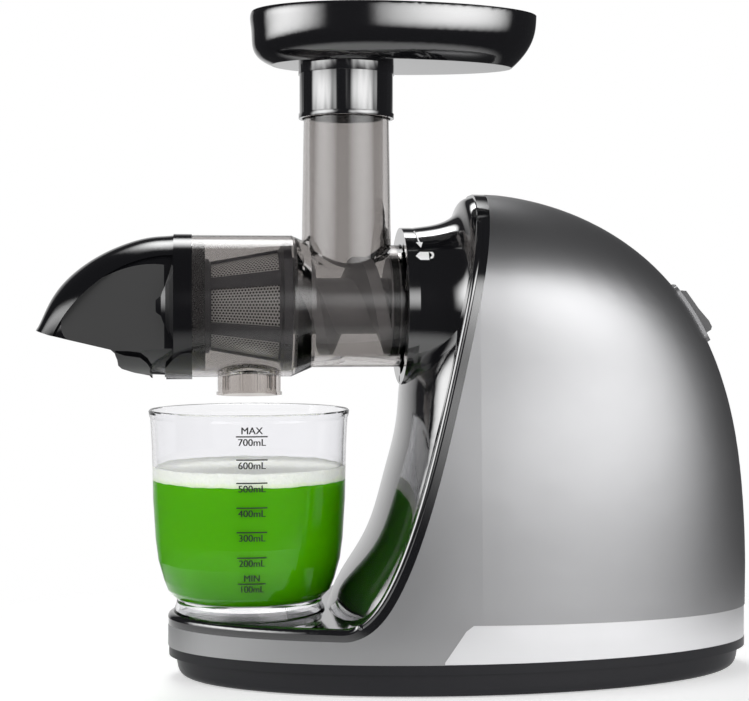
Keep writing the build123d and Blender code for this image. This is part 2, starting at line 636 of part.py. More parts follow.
with BuildPart() as end_bell:
    rod(CAN_X1, CAN_X1 + 2.6, MOTOR_R, BEARING_R, z=ROTOR_Z)
    rod(CAN_X1, BELL_X1, BEARING_R + 2.6, BEARING_R, z=ROTOR_Z)
    rod(BELL_X1 - 1.0, BELL_X1, BEARING_R + 1.0, ROTOR_R + 1.0, z=ROTOR_Z)
    for turn in range(6):
        y, z = 24.0 * cos(radians(60 * turn)), 24.0 * sin(radians(60 * turn))
        rod(CAN_X1 - 1.0, CAN_X1 + 4.0, 6.0, y=y, z=ROTOR_Z + z, mode=Mode.SUBTRACT)
end_bell.part.label = "end_bell"
export_step(end_bell.part, "parts/end_bell.step")

with BuildPart() as motor_bearings:
    rod(MOTOR_X, MOTOR_X + BEARING_W, BEARING_R, ROTOR_R + RUN, z=ROTOR_Z)
    rod(CAN_X1, CAN_X1 + BEARING_W, BEARING_R, ROTOR_R + RUN, z=ROTOR_Z)
motor_bearings.part.label = "motor_bearings"
export_step(motor_bearings.part, "parts/motor_bearings.step")

POLE = 13.0

with BuildPart() as stator_core:
    rod(STACK_X0, STACK_X1, MOTOR_R - 1.6, MOTOR_R - 7.0, z=ROTOR_Z)
    with BuildSketch(Plane.YZ.offset(STACK_X0)) as poles:
        with Locations((0, ROTOR_Z)):
            Rectangle(2 * MOTOR_R - 12.0, 2 * POLE)
            Circle(BORE_R, mode=Mode.SUBTRACT)
    extrude(poles.sketch, amount=STACK_X1 - STACK_X0)
stator_core.part.label = "stator_core"
export_step(stator_core.part, "parts/stator_core.step")

with BuildPart() as field_coils:
    with BuildSketch(Plane.YZ.offset(STACK_X0 - 5.0)) as coils:
        with Locations((0, ROTOR_Z)):
            Circle(MOTOR_R - 7.3)
            Circle(BORE_R + 0.3, mode=Mode.SUBTRACT)
            Rectangle(2 * MOTOR_R, 2 * POLE + 0.4, mode=Mode.SUBTRACT)
    extrude(coils.sketch, amount=STACK_X1 - STACK_X0 + 10.0)
field_coils.part.label = "field_coils"
export_step(field_coils.part, "parts/field_coils.step")

with BuildPart() as brush_holders:
    for side in (-1, 1):
        with BuildSketch(Plane.XY.offset(ROTOR_Z - 3.5)) as holder:
            with Locations((STACK_X1 + 11.0, side * (10.4 + MOTOR_R - 1.6) / 2)):
                Rectangle(6.0, MOTOR_R - 12.0)
        extrude(holder.sketch, amount=7.0)
brush_holders.part.label = "brush_holders"
export_step(brush_holders.part, "parts/brush_holders.step")

with BuildPart() as cooling_fan:
    rod(BELL_X1 + 1.5, BELL_X1 + 10.0, 8.0, ROTOR_R, z=ROTOR_Z)
    rod(BELL_X1 + 1.5, BELL_X1 + 3.0, 26.0, ROTOR_R, z=ROTOR_Z)
    for turn in range(9):
        with BuildSketch(Plane.YZ.offset(BELL_X1 + 2.5)) as blade:
            with Locations((0, ROTOR_Z)):
                with PolarLocations(16.5, 1, start_angle=40 * turn):
                    Rectangle(18.0, 1.6)
        extrude(blade.sketch, amount=7.0)
cooling_fan.part.label = "cooling_fan"
export_step(cooling_fan.part, "parts/cooling_fan.step")

# ---- circuit board -----------------------------------------------------------------------
BOARD_X = CAN_X1 - 20.0
BOARD_Z = FLOOR_Z + 8.0

with BuildPart() as circuit_board:
    with Locations((BOARD_X, 0, BOARD_Z)):
        Box(56.0, 44.0, 1.6, align=(Align.CENTER, Align.CENTER, Align.MIN))
    for x in (-22.0, 22.0):
        for y in (-16.0, 16.0):
            post(FLOOR_Z, BOARD_Z, 3.0, x=BOARD_X + x, y=y)
circuit_board.part.label = "circuit_board"
export_step(circuit_board.part, "parts/circuit_board.step")

with BuildPart() as capacitors:
    with Locations((BOARD_X - 8.0, 6.0, BOARD_Z + 1.6)):
        Box(26.0, 12.0, 18.0, align=(Align.CENTER, Align.CENTER, Align.MIN))
    post(BOARD_Z + 1.6, BOARD_Z + 18.0, 6.0, x=BOARD_X + 16.0, y=-8.0)
capacitors.part.label = "capacitors"
export_step(capacitors.part, "parts/capacitors.step")

# ---- switch ------------------------------------------------------------------------------
ROCKER_LONG = 28.0
ROCKER_WIDE = 16.4
BEZEL_H = 2.2
PIVOT_V = -1.0  # axis of the rocker, along the switch plane's normal


def on_switch(u, v):
    """Side view point at u up the slope of the switch and v out of it."""
    point = SWITCH.origin + SWITCH.y_dir * u + SWITCH.z_dir * v
    return point.X, point.Z


with BuildPart() as switch_bezel:
    with BuildSketch(SWITCH.offset(-5.0)) as rim:
        RectangleRounded(SWITCH_WIDE, SWITCH_LONG, 4.0)
    extrude(rim.sketch, amount=BEZEL_H + 14.0)
    body_form(PLATE_Z, -BEZEL_H, mode=Mode.INTERSECT)
    body_form(PLATE_Z, 0.0, mode=Mode.SUBTRACT)
    with BuildSketch(SWITCH.offset(-9.0)) as neck:
        Rectangle(SWITCH_WIDE - 5.4, SWITCH_LONG - 8.4 + 2.0)
    extrude(neck.sketch, amount=9.0 + BEZEL_H - 1.0)
    with BuildSketch(SWITCH.offset(-10.0)) as opening:
        Rectangle(ROCKER_WIDE + 1.2, ROCKER_LONG + 2.4)
    extrude(opening.sketch, amount=30.0, mode=Mode.SUBTRACT)
switch_bezel.part.label = "switch_bezel"
export_step(switch_bezel.part, "parts/switch_bezel.step")

with BuildPart() as switch_body:
    with BuildSketch(SWITCH.offset(-24.0)) as block:
        Rectangle(ROCKER_WIDE + 1.2, ROCKER_LONG + 2.4)
    extrude(block.sketch, amount=16.0)
    with BuildSketch(SWITCH.offset(-30.0)) as tabs:
        with GridLocations(8.0, 9.0, 2, 3):
            Rectangle(0.8, 4.8)
    extrude(tabs.sketch, amount=6.5)
switch_body.part.label = "switch_body"
export_step(switch_body.part, "parts/switch_body.step")

with BuildPart() as switch_rocker:
    end = ROCKER_LONG / 2
    outline = ((-end, -3.0), (end, -3.0), (end, 3.0), (end - 1.6, 5.0), (0.0, 5.6), (5.0 - end, 6.8), (1.2 - end, 6.4),
               (-end, 5.0))
    with BuildSketch(SIDE) as profile:
        with BuildLine():
            Polyline(*[on_switch(u, v) for u, v in outline], close=True)
        make_face()
    extrude(profile.sketch, amount=ROCKER_WIDE / 2, both=True)
    with BuildSketch(SIDE) as pivot:
        with Locations(on_switch(0.0, PIVOT_V)):
            Circle(1.6)
    extrude(pivot.sketch, amount=ROCKER_WIDE / 2 + 0.4, both=True)
switch_rocker.part.label = "switch_rocker"
export_step(switch_rocker.part, "parts/switch_rocker.step")

# ---- juicing chamber ---------------------------------------------------------------------
DRUM_BORE = DRUM_R - DRUM_WALL
TUBE_END = NECK_X + 0.4

with BuildPart() as juicing_chamber:
    turned(((DRUM_X0, DRUM_BORE), (DRUM_X0, DRUM_R), (DRUM_X1, DRUM_R), (TUBE_X0, TUBE_R), (TUBE_END, TUBE_R),
            (TUBE_END, TUBE_BORE), (TUBE_X0 - 3.0, TUBE_BORE), (DRUM_X1 + 1.5, DRUM_BORE)))
    with Locations((CHUTE_X, 0, AXIS_Z)):
        Cone(CHUTE_R + 0.4, CHUTE_TOP_R, CHUTE_TOP - AXIS_Z, align=(Align.CENTER, Align.CENTER, Align.MIN))
    rod(CHUTE_X - CHUTE_R - 3.0, TUBE_END, TUBE_BORE, mode=Mode.SUBTRACT)
    rod(DRUM_X0, DRUM_X1 + 1.5, DRUM_BORE, mode=Mode.SUBTRACT)
    post(AXIS_Z, CHUTE_TOP + 1.0, CHUTE_BORE, x=CHUTE_X, mode=Mode.SUBTRACT)
    post(AXIS_Z, THROAT_Z, CHUTE_BORE + 0.6, x=CHUTE_X, mode=Mode.SUBTRACT)
    post(AXIS_Z - DRUM_R - 1.0, AXIS_Z - DRUM_BORE + 5.0, SPOUT_R - 5.0, x=CUP_X, mode=Mode.SUBTRACT)
    for middle in LUG_TURNS:
        wedge(LUG_X0, LUG_X1, LUG_R, middle, 12.0)
    rod(LUG_X0 - 1.0, TUBE_END + 1.0, TUBE_BORE, mode=Mode.SUBTRACT)
juicing_chamber.part.label = "juicing_chamber"
export_step(juicing_chamber.part, "parts/juicing_chamber.step")

with BuildPart() as juice_spout:
    post(SPOUT_Z, AXIS_Z - 20.0, SPOUT_R, SPOUT_R - 2.4, x=CUP_X)
    post(SPOUT_Z, SPOUT_Z + 1.6, SPOUT_R + 0.7, SPOUT_R - 1.0, x=CUP_X)
    with BuildSketch(Plane.XY.offset(SPOUT_Z + 3.0)) as ribs:
        with Locations((CUP_X, 0)):
            with PolarLocations(SPOUT_R - 2.6, SPOUT_RIBS):
                Rectangle(2.0, 1.4)
    extrude(ribs.sketch, amount=12.0)
    rod(DRUM_X0, DRUM_X1, DRUM_R, mode=Mode.SUBTRACT)
juice_spout.part.label = "juice_spout"
export_step(juice_spout.part, "parts/juice_spout.step")

# ---- strainer ----------------------------------------------------------------------------
CONE_X0 = DRUM_X0 + 9.3  # front end of the sieve
CONE_X1 = DRUM_X1 - 6.8  # rear end of the sieve
CONE_R0 = 24.3
CONE_R1 = 31.2
FRAME_T = 1.6
RIBS = 6
WINDOW = 22.0  # half angle of a sieve window


def cone_r(x):
    """Outer radius of the strainer along its length."""
    return CONE_R0 + (CONE_R1 - CONE_R0) * (x - CONE_X0) / (CONE_X1 - CONE_X0)


def cone_shell(x0, x1, outer, inner):
    """A conical sheet between two offsets from the strainer's outer radius."""
    turned(((x0, cone_r(x0) - outer), (x1, cone_r(x1) - outer), (x1, cone_r(x1) - inner), (x0, cone_r(x0) - inner)))


with BuildPart() as strainer_frame:
    cone_shell(CONE_X0 - 7.0, CONE_X1 + 6.0, 0.0, FRAME_T)
    for rib in range(RIBS):
        wedge(CONE_X0 + 1.0, CONE_X1 - 1.0, CONE_R1 + 8.0, 360.0 * rib / RIBS, WINDOW, Mode.SUBTRACT)
    turned(((CONE_X1, cone_r(CONE_X1) - FRAME_T), (CONE_X1 + 6.0, cone_r(CONE_X1 + 6.0) - FRAME_T),
            (CONE_X1 + 6.0, DRUM_BORE - 0.3), (CONE_X1 + 1.5, DRUM_BORE - 0.3), (CONE_X1, CONE_R1)))
    turned(((CONE_X0 - 7.0, cone_r(CONE_X0 - 7.0) - FRAME_T), (CONE_X0, CONE_R0 - FRAME_T), (CONE_X0, CONE_R0 + 1.6),
            (CONE_X0 - 7.0, CONE_R0 + 1.6)))
strainer_frame.part.label = "strainer_frame"
export_step(strainer_frame.part, "parts/strainer_frame.step")

with BuildPart() as strainer_mesh:
    cone_shell(CONE_X0 - 5.0, CONE_X1 + 4.0, FRAME_T, FRAME_T + MESH_T)
strainer_mesh.part.label = "strainer_mesh"
export_step(strainer_mesh.part, "parts/strainer_mesh.step")

# ---- auger -------------------------------------------------------------------------------
FLANGE_X0 = -7.5
FLANGE_X1 = -1.9
FLANGE_R = 26.9
CORE_R = 15.6
FEED_PITCH = 36.0
PRESS_PITCH = 19.0
FEED_TIP = TUBE_BORE - 1.3
PIN_R = 5.0
AUGER_X0 = CONE_X0 - 8.0
TIP_GAP = FRAME_T + MESH_T + 0.6


def flight(x0, x1, pitch, core0, tip0, tip1, root, crest):
    """One helical flight from x0 to x1, wound on the core and reaching the tip radii."""
    rise = tip1 - tip0
    lean_angle = 0.0 if abs(rise) < 0.01 else atan2(rise, x1 - x0) * 180 / pi
    with BuildLine(mode=Mode.PRIVATE) as path:
        Helix(pitch, x1 - x0, core0, center=(x0, 0, AXIS_Z), direction=(1, 0, 0), cone_angle=lean_angle)
    start = path.line @ 0
    radial = Vector(0, start.Y, start.Z - AXIS_Z)
    with BuildSketch(Plane(origin=start, x_dir=radial, z_dir=path.line % 0), mode=Mode.PRIVATE) as tooth:
        with BuildLine():
            Polyline((-rise - 1.5, -root / 2), (tip0 - core0, -crest / 2), (tip0 - core0, crest / 2),
                     (-rise - 1.5, root / 2), close=True)
        make_face()
    sweep(tooth.sketch, path=path.line, is_frenet=True)


with BuildPart() as auger:
    rod(DRUM_X1 - 4.0, FLANGE_X0, CORE_R)
    flight(DRUM_X1 + 2.0, FLANGE_X0 + 1.0, FEED_PITCH, CORE_R, FEED_TIP, FEED_TIP, 14.0, 6.6)
    rod(FLANGE_X0, FLANGE_X0 + 20.0, FEED_TIP + 10.0, mode=Mode.SUBTRACT)
    rod(DRUM_X1 - 20.0, DRUM_X1 - 4.0, FEED_TIP + 10.0, mode=Mode.SUBTRACT)
    rod(FLANGE_X0, FLANGE_X1, FLANGE_R)
    rod(FLANGE_X1, 2.0, 12.0)
    turned(((AUGER_X0, 0.0), (AUGER_X0, CORE_R + 1.0), (CONE_X0, CORE_R + 2.0), (DRUM_X1 - 4.0, CORE_R),
            (DRUM_X1 - 4.0, 0.0)))
    flight(CONE_X0 - 4.0, CONE_X1 + 1.0, PRESS_PITCH, CORE_R + 2.0, cone_r(CONE_X0 - 4.0) - TIP_GAP - 0.3,
           cone_r(CONE_X1 + 1.0) - TIP_GAP - 0.6, 6.0, 2.6)
    rod(AUGER_X0 - 9.0, AUGER_X0 + 1.0, PIN_R)
    rod(FLANGE_X0 + 1.0, FLANGE_X1 - 1.0, FLANGE_R + 2.0, FLANGE_R - 2.0, mode=Mode.SUBTRACT)
    with BuildSketch(Plane.YZ.offset(DRIVE_X - 1.5)) as socket:
        with Locations((0, AXIS_Z)):
            RegularPolygon(HEX_R + 0.12, 6, major_radius=False)
    extrude(socket.sketch, amount=30.0, mode=Mode.SUBTRACT)
auger.part.label = "auger"
export_step(auger.part, "parts/auger.step")

with BuildPart() as auger_seal:
    rod(FLANGE_X0 + 1.0, FLANGE_X1 - 1.0, TUBE_BORE - GAP, FLANGE_R - 2.0)
auger_seal.part.label = "auger_seal"
export_step(auger_seal.part, "parts/auger_seal.step")

# ---- end cap with the pulp outlet --------------------------------------------------------
CAP_R = DRUM_R + 0.5
CAP_TIP_X = DRUM_X0 - 83.7
CAP_RING_X = DRUM_X0 - 8.2
CAP_LONG = CAP_RING_X - CAP_TIP_X
MOUTH_X = DRUM_X0 - 39.7
CAP_WALL = 2.6
HUB_R = 9.0
PANEL_Y = CAP_R - 8.6  # half distance between the side panels at the ring
PANEL_END_Y = CAP_R - 16.6  # and at the tip
# stations of the hood: share of its length, top and foot above the axis, half width
HOOD = (
    (0.0, 39.3, -39.3, 39.3),
    (0.13, 38.2, -39.0, 39.0),
    (0.28, 36.2, -38.5, 37.6),
    (0.44, 31.9, -37.6, 35.2),
    (0.6, 25.6, -36.0, 32.0),
    (0.74, 17.8, -34.0, 28.6),
    (0.86, 7.9, -31.5, 24.6),
    (0.94, -3.0, -29.0, 20.8),
    (1.0, -12.2, -26.0, 17.0),
)
# side view of the recessed panel's upper edge, from the tip to the ring
CREASE = ((-73.4, -14.6), (-64.0, -0.3), (-53.6, 10.2), (-37.9, 20.6), (-23.7, 25.6), (-14.7, 27.0))
# where the panel rises to the ring: station and radius
FLARE = ((-19.2, 30.6), (-16.4, 31.2), (-14.1, 32.9), (-12.1, 35.4), (-10.7, 38.0), (-9.9, 39.4))
UNDERSIDE = ((-88.7, -11.7), (-76.0, -15.6), (-43.1, -23.3), (-40.9, -25.4), (-39.7, -28.8), (-39.3, -32.0),
             (-37.5, -33.8), (-31.1, -36.0), (-23.0, -37.7), (-10.7, -60.0), (-88.7, -60.0))
POCKET = ((-6.7, 27.0), (-2.7, 24.0), (-2.7, -23.0), (-6.4, -25.5), (-10.7, -29.2), (-14.4, -33.5), (-15.4, -45.0),
          (-21.3, -45.0), (-21.8, -34.5), (-23.9, -30.7), (-27.6, -27.5), (-35.6, -26.4), (-40.7, -30.0),
          (-80.7, -30.0))
GRIP_FRONT = ((-40.7, -24.6), (-35.6, -26.4), (-27.6, -27.5), (-23.9, -30.7), (-21.8, -34.5), (-21.3, -45.0),
              (-40.7, -45.0))
GRIP_REAR = ((-15.4, -45.0), (-15.4, -37.2), (-14.4, -33.5), (-10.7, -29.2), (-6.4, -25.5), (1.3, -24.4),
             (1.3, -45.0))


def hood_form(inset, mode=Mode.ADD):
    """The hood over the pulp outlet, from rounded upright sections."""
    sections = []
    for share, top, foot, half in HOOD:
        x = CAP_RING_X - (CAP_LONG - inset) * share
        middle, tall, wide = (top + foot) / 2, (top - foot) / 2 - inset, half - inset
        power = 2.0 / (2.0 + 0.5 * share)
        points = []
        for step in range(20):
            a = 2 * pi * step / 20
            c, s = cos(a), sin(a)
            points.append((wide * abs(c) ** power * (1 if c >= 0 else -1),
                           AXIS_Z + middle + tall * abs(s) ** power * (1 if s >= 0 else -1)))
        with BuildSketch(Plane.YZ.offset(x)) as section:
            with BuildLine():
                Spline(*points, periodic=True)
            make_face()
        sections.append(section.sketch)
    loft(sections, mode=mode)


def between_panels(inset):
    """What lies between the planes of the two side panels, which close in towards the tip."""
    with BuildSketch(Plane.XY.offset(AXIS_Z - 60.0)) as view:
        with BuildLine():
            points = [(CAP_TIP_X - 2.0, PANEL_END_Y - inset), (CAP_RING_X - 6.0, PANEL_Y - inset),
                      (DRUM_X0 + 5.0, PANEL_Y - inset)]
            Polyline(*points, *[(x, -y) for x, y in reversed(points)], close=True)
        make_face()
    extrude(view.sketch, amount=120.0, mode=Mode.INTERSECT)


def cap_view(points):
    """Side view points given from the front end of the drum and from the axis."""
    return [(DRUM_X0 + x, AXIS_Z + z) for x, z in points]


with BuildPart() as hood_cavity:
    hood_form(CAP_WALL)
    between_panels(CAP_WALL - 0.6)

with BuildPart() as panel_core:
    hood_form(1.2)
    between_panels(0.0)

with BuildPart() as panel_pocket:
    with BuildSketch(SIDE) as view:
        with BuildLine():
            edge = cap_view(CREASE)
            Spline(*edge)
            Polyline(edge[-1], *cap_view(POCKET), edge[0])
        make_face()
    extrude(view.sketch, amount=60.0, both=True)
    add(panel_core.part, mode=Mode.SUBTRACT)
    flare = [(DRUM_X0 + x, CAP_R - 39.6 + r) for x, r in FLARE]
    turned((*flare, (DRUM_X0 + 1.0, CAP_R + 1.0), (DRUM_X0 + 1.0, 0.0), (flare[0][0], 0.0)), mode=Mode.SUBTRACT)

with BuildPart() as front_grip:
    hood_form(-0.8)
    side_cut(cap_view(GRIP_FRONT), Mode.INTERSECT)

with BuildPart() as rear_grip:
    rod(flare[2][0], DRUM_X0, CAP_R + 0.8)
    side_cut(cap_view(GRIP_REAR), Mode.INTERSECT)

with BuildPart() as end_cap:
    hood_form(0.0)
    add(panel_pocket.part, mode=Mode.SUBTRACT)
    rod(flare[-1][0], DRUM_X0, CAP_R)
    add(front_grip.part)
    add(rear_grip.part)
    side_cut(cap_view(UNDERSIDE), Mode.SUBTRACT)
    add(hood_cavity.part, mode=Mode.SUBTRACT)
    rod(CAP_RING_X - 0.7, DRUM_X0 + 1.0, CAP_R - 3.2, mode=Mode.SUBTRACT)
    rod(DRUM_X0 - 6.0, DRUM_X0 + 7.0, DRUM_BORE - GAP, DRUM_BORE - 3.0)
    rod(DRUM_X0 - 6.0, DRUM_X0, CAP_R, DRUM_BORE - 3.0)
    rod(DRUM_X0 - 6.0, DRUM_X0 + 0.6, HUB_R)
    for turn in (90.0, 210.0, 330.0):
        wedge(DRUM_X0 - 6.0, DRUM_X0 - 1.0, DRUM_BORE - 1.0, turn, 7.0)
    rod(DRUM_X0 - 8.0, DRUM_X0 + 2.0, HUB_R - 2.0, mode=Mode.SUBTRACT)
end_cap.part.label = "end_cap"
export_step(end_cap.part, "parts/end_cap.step")

with BuildPart() as cap_bush:
    rod(DRUM_X0 - 6.0, DRUM_X0 + 0.6, HUB_R - 2.0, PIN_R + RUN)
cap_bush.part.label = "cap_bush"
export_step(cap_bush.part, "parts/cap_bush.step")

# ---- feed tray ---------------------------------------------------------------------------
TRAY_Z = TRAY_TOP - TRAY_H
COLLAR_R = 26.0
SLEEVE_Z = CHUTE_TOP - 24.2


def dish(inset, low):
    """The feed tray's form, set in all round, from a height above its floor."""
    sections = []
    for share in (0.0, 0.04, 0.1, 0.2, 0.36, 0.6, 1.0):
        fall = 1.0 - share
        front = TRAY_X - TRAY_X0 - 11.0 * fall**7.0 - inset
        back = TRAY_X1 - TRAY_X - 14.0 * fall**2.4 - inset
        half = TRAY_B - 11.4 * fall**4.0 - inset
        sections.append(oval(TRAY_Z + low + (TRAY_H - low) * share, front, back, half, TRAY_X))
    return sections


with BuildPart() as feed_tray:
    loft(dish(0.0, 0.0))
    post(SLEEVE_Z, TRAY_Z + 2.0, COLLAR_R, x=CHUTE_X)
    post(SLEEVE_Z, SLEEVE_Z + 2.6, COLLAR_R + 0.5, x=CHUTE_X)
    post(TRAY_Z - 5.0, TRAY_Z + 2.0, COLLAR_R + 0.6, x=CHUTE_X)
    loft(dish(TRAY_WALL, TRAY_WALL), mode=Mode.SUBTRACT)
    post(0.0, CHUTE_TOP + 0.2, CHUTE_TOP_R + 1.0 + GAP, x=CHUTE_X, mode=Mode.SUBTRACT)
    post(CHUTE_TOP, TRAY_TOP, CHUTE_BORE + 0.4, x=CHUTE_X, mode=Mode.SUBTRACT)
feed_tray.part.label = "feed_tray"
export_step(feed_tray.part, "parts/feed_tray.step")

# ---- juice cup and its juice -------------------------------------------------------------
CUP_SIDE = ((0.0, 0.78), (3.0, 0.76), (6.4, 0.745), (11.8, 0.84), (17.4, 0.88), (28.4, 0.938), (39.6, 0.965),
            (61.8, 0.99), (89.7, 1.0), (106.4, 1.016))
CUP_FLOOR = 8.0
INNER_Z = CUP_Z + CUP_FLOOR


def cup_r(z):
    """Outer radius of the cup at a height above the floor it stands on."""
    for (z0, r0), (z1, r1) in zip(CUP_SIDE, CUP_SIDE[1:]):
        if z0 <= z - CUP_Z <= z1:
            return CUP_R * (r0 + (r1 - r0) * (z - CUP_Z - z0) / (z1 - z0))
    return CUP_R * CUP_SIDE[-1][1]


def spun(points, x, mode=Mode.ADD):
    """A turned form about the vertical line at x; points are (radius, z)."""
    with BuildSketch(SIDE) as half:
        with BuildLine():
            Polyline(*[(x + r, z) for r, z in points], close=True)
        make_face()
    revolve(half.sketch, axis=Axis((x, 0, 0), (0, 0, 1)), mode=mode)


def fill_side(z0, z1, gap):
    """Radius and height of what stands in the cup, from one height to another."""
    steps = max(1, round((z1 - z0) / 12.0))
    levels = [z0 + (z1 - z0) * i / steps for i in range(steps + 1)]
    return [(cup_r(z) - CUP_WALL - gap, z) for z in levels]


with BuildPart() as juice_cup:
    outer = [(CUP_R * r, CUP_Z + z) for z, r in CUP_SIDE]
    inner = [(CUP_R * r - CUP_WALL, CUP_Z + z) for z, r in CUP_SIDE if z > CUP_FLOOR + 2.0]
    lip = ((CUP_R * 1.028, CUP_TOP - 3.2), (CUP_R * 1.034, CUP_TOP - 0.8), (CUP_R * 1.022, CUP_TOP),
           (CUP_R, CUP_TOP - 0.6))
    foot = ((0.0, CUP_Z + 4.0), (outer[0][0] - 4.0, CUP_Z + 4.0), (outer[0][0] - 2.6, CUP_Z))
    spun((*foot, *outer, *lip, *reversed(inner), (inner[0][0] - 3.0, INNER_Z), (0.0, INNER_Z)), CUP_X)
juice_cup.part.label = "juice_cup"
export_step(juice_cup.part, "parts/juice_cup.step")

with BuildPart() as juice:
    floor = INNER_Z + 0.25
    spun(((0.0, floor), (inner[0][0] - 3.4, floor), *fill_side(INNER_Z + 4.0, JUICE_Z, 0.3), (0.0, JUICE_Z)), CUP_X)
juice.part.label = "juice"
export_step(juice.part, "parts/juice.step")

with BuildPart() as juice_foam:
    crown = JUICE_Z + FOAM_T
    spun(((0.0, JUICE_Z), *fill_side(JUICE_Z, crown - 1.5, 0.3), (CUP_R - 8.0, crown), (0.0, crown + 0.8)), CUP_X)
juice_foam.part.label = "juice_foam"
export_step(juice_foam.part, "parts/juice_foam.step")
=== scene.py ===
"""Dressed scene of a horizontal cold press juicer.

Every length is in metres, in the frame of the CAD model: +X along the auger's axis towards the
motor housing, +Z up, the floor at Z = 0.
"""

import logging
import math
from dataclasses import dataclass, field
from enum import Enum
from typing import Protocol, Sequence, Union

import bmesh
import bpy
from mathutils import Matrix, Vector
from mathutils.bvhtree import BVHTree

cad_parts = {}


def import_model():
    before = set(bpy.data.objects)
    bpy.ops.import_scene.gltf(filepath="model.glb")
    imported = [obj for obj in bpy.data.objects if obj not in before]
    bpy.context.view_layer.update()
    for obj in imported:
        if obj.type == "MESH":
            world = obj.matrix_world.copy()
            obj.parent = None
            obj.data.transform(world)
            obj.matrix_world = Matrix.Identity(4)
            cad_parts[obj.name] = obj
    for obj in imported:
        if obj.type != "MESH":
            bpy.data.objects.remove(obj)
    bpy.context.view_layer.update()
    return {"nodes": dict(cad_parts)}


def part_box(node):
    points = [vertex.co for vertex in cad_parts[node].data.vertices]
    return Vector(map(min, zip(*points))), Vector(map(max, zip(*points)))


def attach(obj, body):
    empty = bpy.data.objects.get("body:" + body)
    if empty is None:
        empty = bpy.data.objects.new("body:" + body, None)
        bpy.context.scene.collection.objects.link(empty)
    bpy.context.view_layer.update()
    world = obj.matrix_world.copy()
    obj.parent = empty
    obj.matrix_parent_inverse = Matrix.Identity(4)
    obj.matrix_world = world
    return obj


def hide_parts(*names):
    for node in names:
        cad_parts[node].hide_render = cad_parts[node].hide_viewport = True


LOG = logging.getLogger("juicer")
MM = 0.001
AXIS_Z = 0.205  # height of the auger's axis
JUICE_RISE = 0.0014  # the drawn juice ends this far above the top of its CAD solid
REACH = 0.3  # rays from outside start this far from the cup's axis or the middle plane
JOIN = 0.00001  # corners closer than this are one corner
Point = tuple[float, float, float]
Colour = tuple[float, float, float]
Rings = Sequence[tuple[float, float]]
Operand = Union["Num", float]


# ---- shader graphs -----------------------------------------------------------------------
class Num:
    """A number or vector socket that combines with others through ordinary operators."""

    def __init__(self, graph: "Tree", socket: bpy.types.NodeSocket) -> None:
        """Wraps an output socket of a graph."""
        self.graph = graph
        self.socket = socket

    def _math(self, operation: str, left: Operand, right: Operand) -> "Num":
        """Adds one math node and returns its result."""
        node = self.graph.node("ShaderNodeMath", {"operation": operation}, {0: left, 1: right})
        return Num(self.graph, node.outputs[0])

    def __add__(self, other: Operand) -> "Num":
        """Sum."""
        return self._math("ADD", self, other)

    __radd__ = __add__

    def __sub__(self, other: Operand) -> "Num":
        """Difference."""
        return self._math("SUBTRACT", self, other)

    def __rsub__(self, other: Operand) -> "Num":
        """Reflected difference."""
        return self._math("SUBTRACT", other, self)

    def __mul__(self, other: Operand) -> "Num":
        """Product."""
        return self._math("MULTIPLY", self, other)

    __rmul__ = __mul__

    def __truediv__(self, other: Operand) -> "Num":
        """Quotient."""
        return self._math("DIVIDE", self, other)

    def __rtruediv__(self, other: Operand) -> "Num":
        """Reflected quotient."""
        return self._math("DIVIDE", other, self)

    def __pow__(self, other: Operand) -> "Num":
        """Power."""
        return self._math("POWER", self, other)

    def __rpow__(self, other: Operand) -> "Num":
        """Reflected power."""
        return self._math("POWER", other, self)

    def less(self, other: Operand) -> "Num":
        """1 where this is below the other, else 0."""
        return self._math("LESS_THAN", self, other)

    def floor(self) -> "Num":
        """Whole part."""
        return self._math("FLOOR", self, 0.0)

    def fract(self) -> "Num":
        """Part after the point."""
        return self._math("FRACT", self, 0.0)

    def angle(self, other: Operand) -> "Num":
        """Angle of the point (other, self)."""
        return self._math("ARCTAN2", self, other)

    def between(self, low: float, high: float) -> "Num":
        """Rises smoothly from 0 to 1.

        Args:
            low: value up to which the result is 0.
            high: value from which it is 1.

        Returns:
            The smooth step.
        """
        node = self.graph.node(
            "ShaderNodeMapRange",
            {"interpolation_type": "SMOOTHSTEP"},
            {"Value": self, "From Min": low, "From Max": high},
        )
        return Num(self.graph, node.outputs[0])


class Tree:
    """A node tree of a material, a lamp or the world."""

    def __init__(self, owner: bpy.types.ID) -> None:
        """Starts an empty tree.

        Args:
            owner: the material, lamp or world that holds it.
        """
        owner.use_nodes = True
        self.tree = owner.node_tree
        self.tree.nodes.clear()

    def node(
        self, kind: str, settings: dict[str, object] | None = None, inputs: dict[object, object] | None = None
    ) -> bpy.types.Node:
        """Creates a node: its settings first, then its values and links.

        Args:
            kind: type of the node.
            settings: properties to set before the sockets are used.
            inputs: socket name or number to a value, a socket or a Num.

        Returns:
            The new node.
        """
        node = self.tree.nodes.new(kind)
        for key, value in (settings or {}).items():
            setattr(node, key, value)
        for key, value in (inputs or {}).items():
            self.feed(node, key, value)
        return node

    def feed(self, node: bpy.types.Node, key: object, value: object) -> None:
        """Links or sets one input of a node.

        Args:
            node: the node.
            key: name or number of its input.
            value: a Num or a socket to link, or else the input's own value.
        """
        if isinstance(value, Num):
            self.link(value.socket, node.inputs[key])
        elif isinstance(value, bpy.types.NodeSocket):
            self.link(value, node.inputs[key])
        else:
            node.inputs[key].default_value = value

    def link(self, source: bpy.types.NodeSocket, target: bpy.types.NodeSocket) -> None:
        """Joins two sockets."""
        self.tree.links.new(source, target)


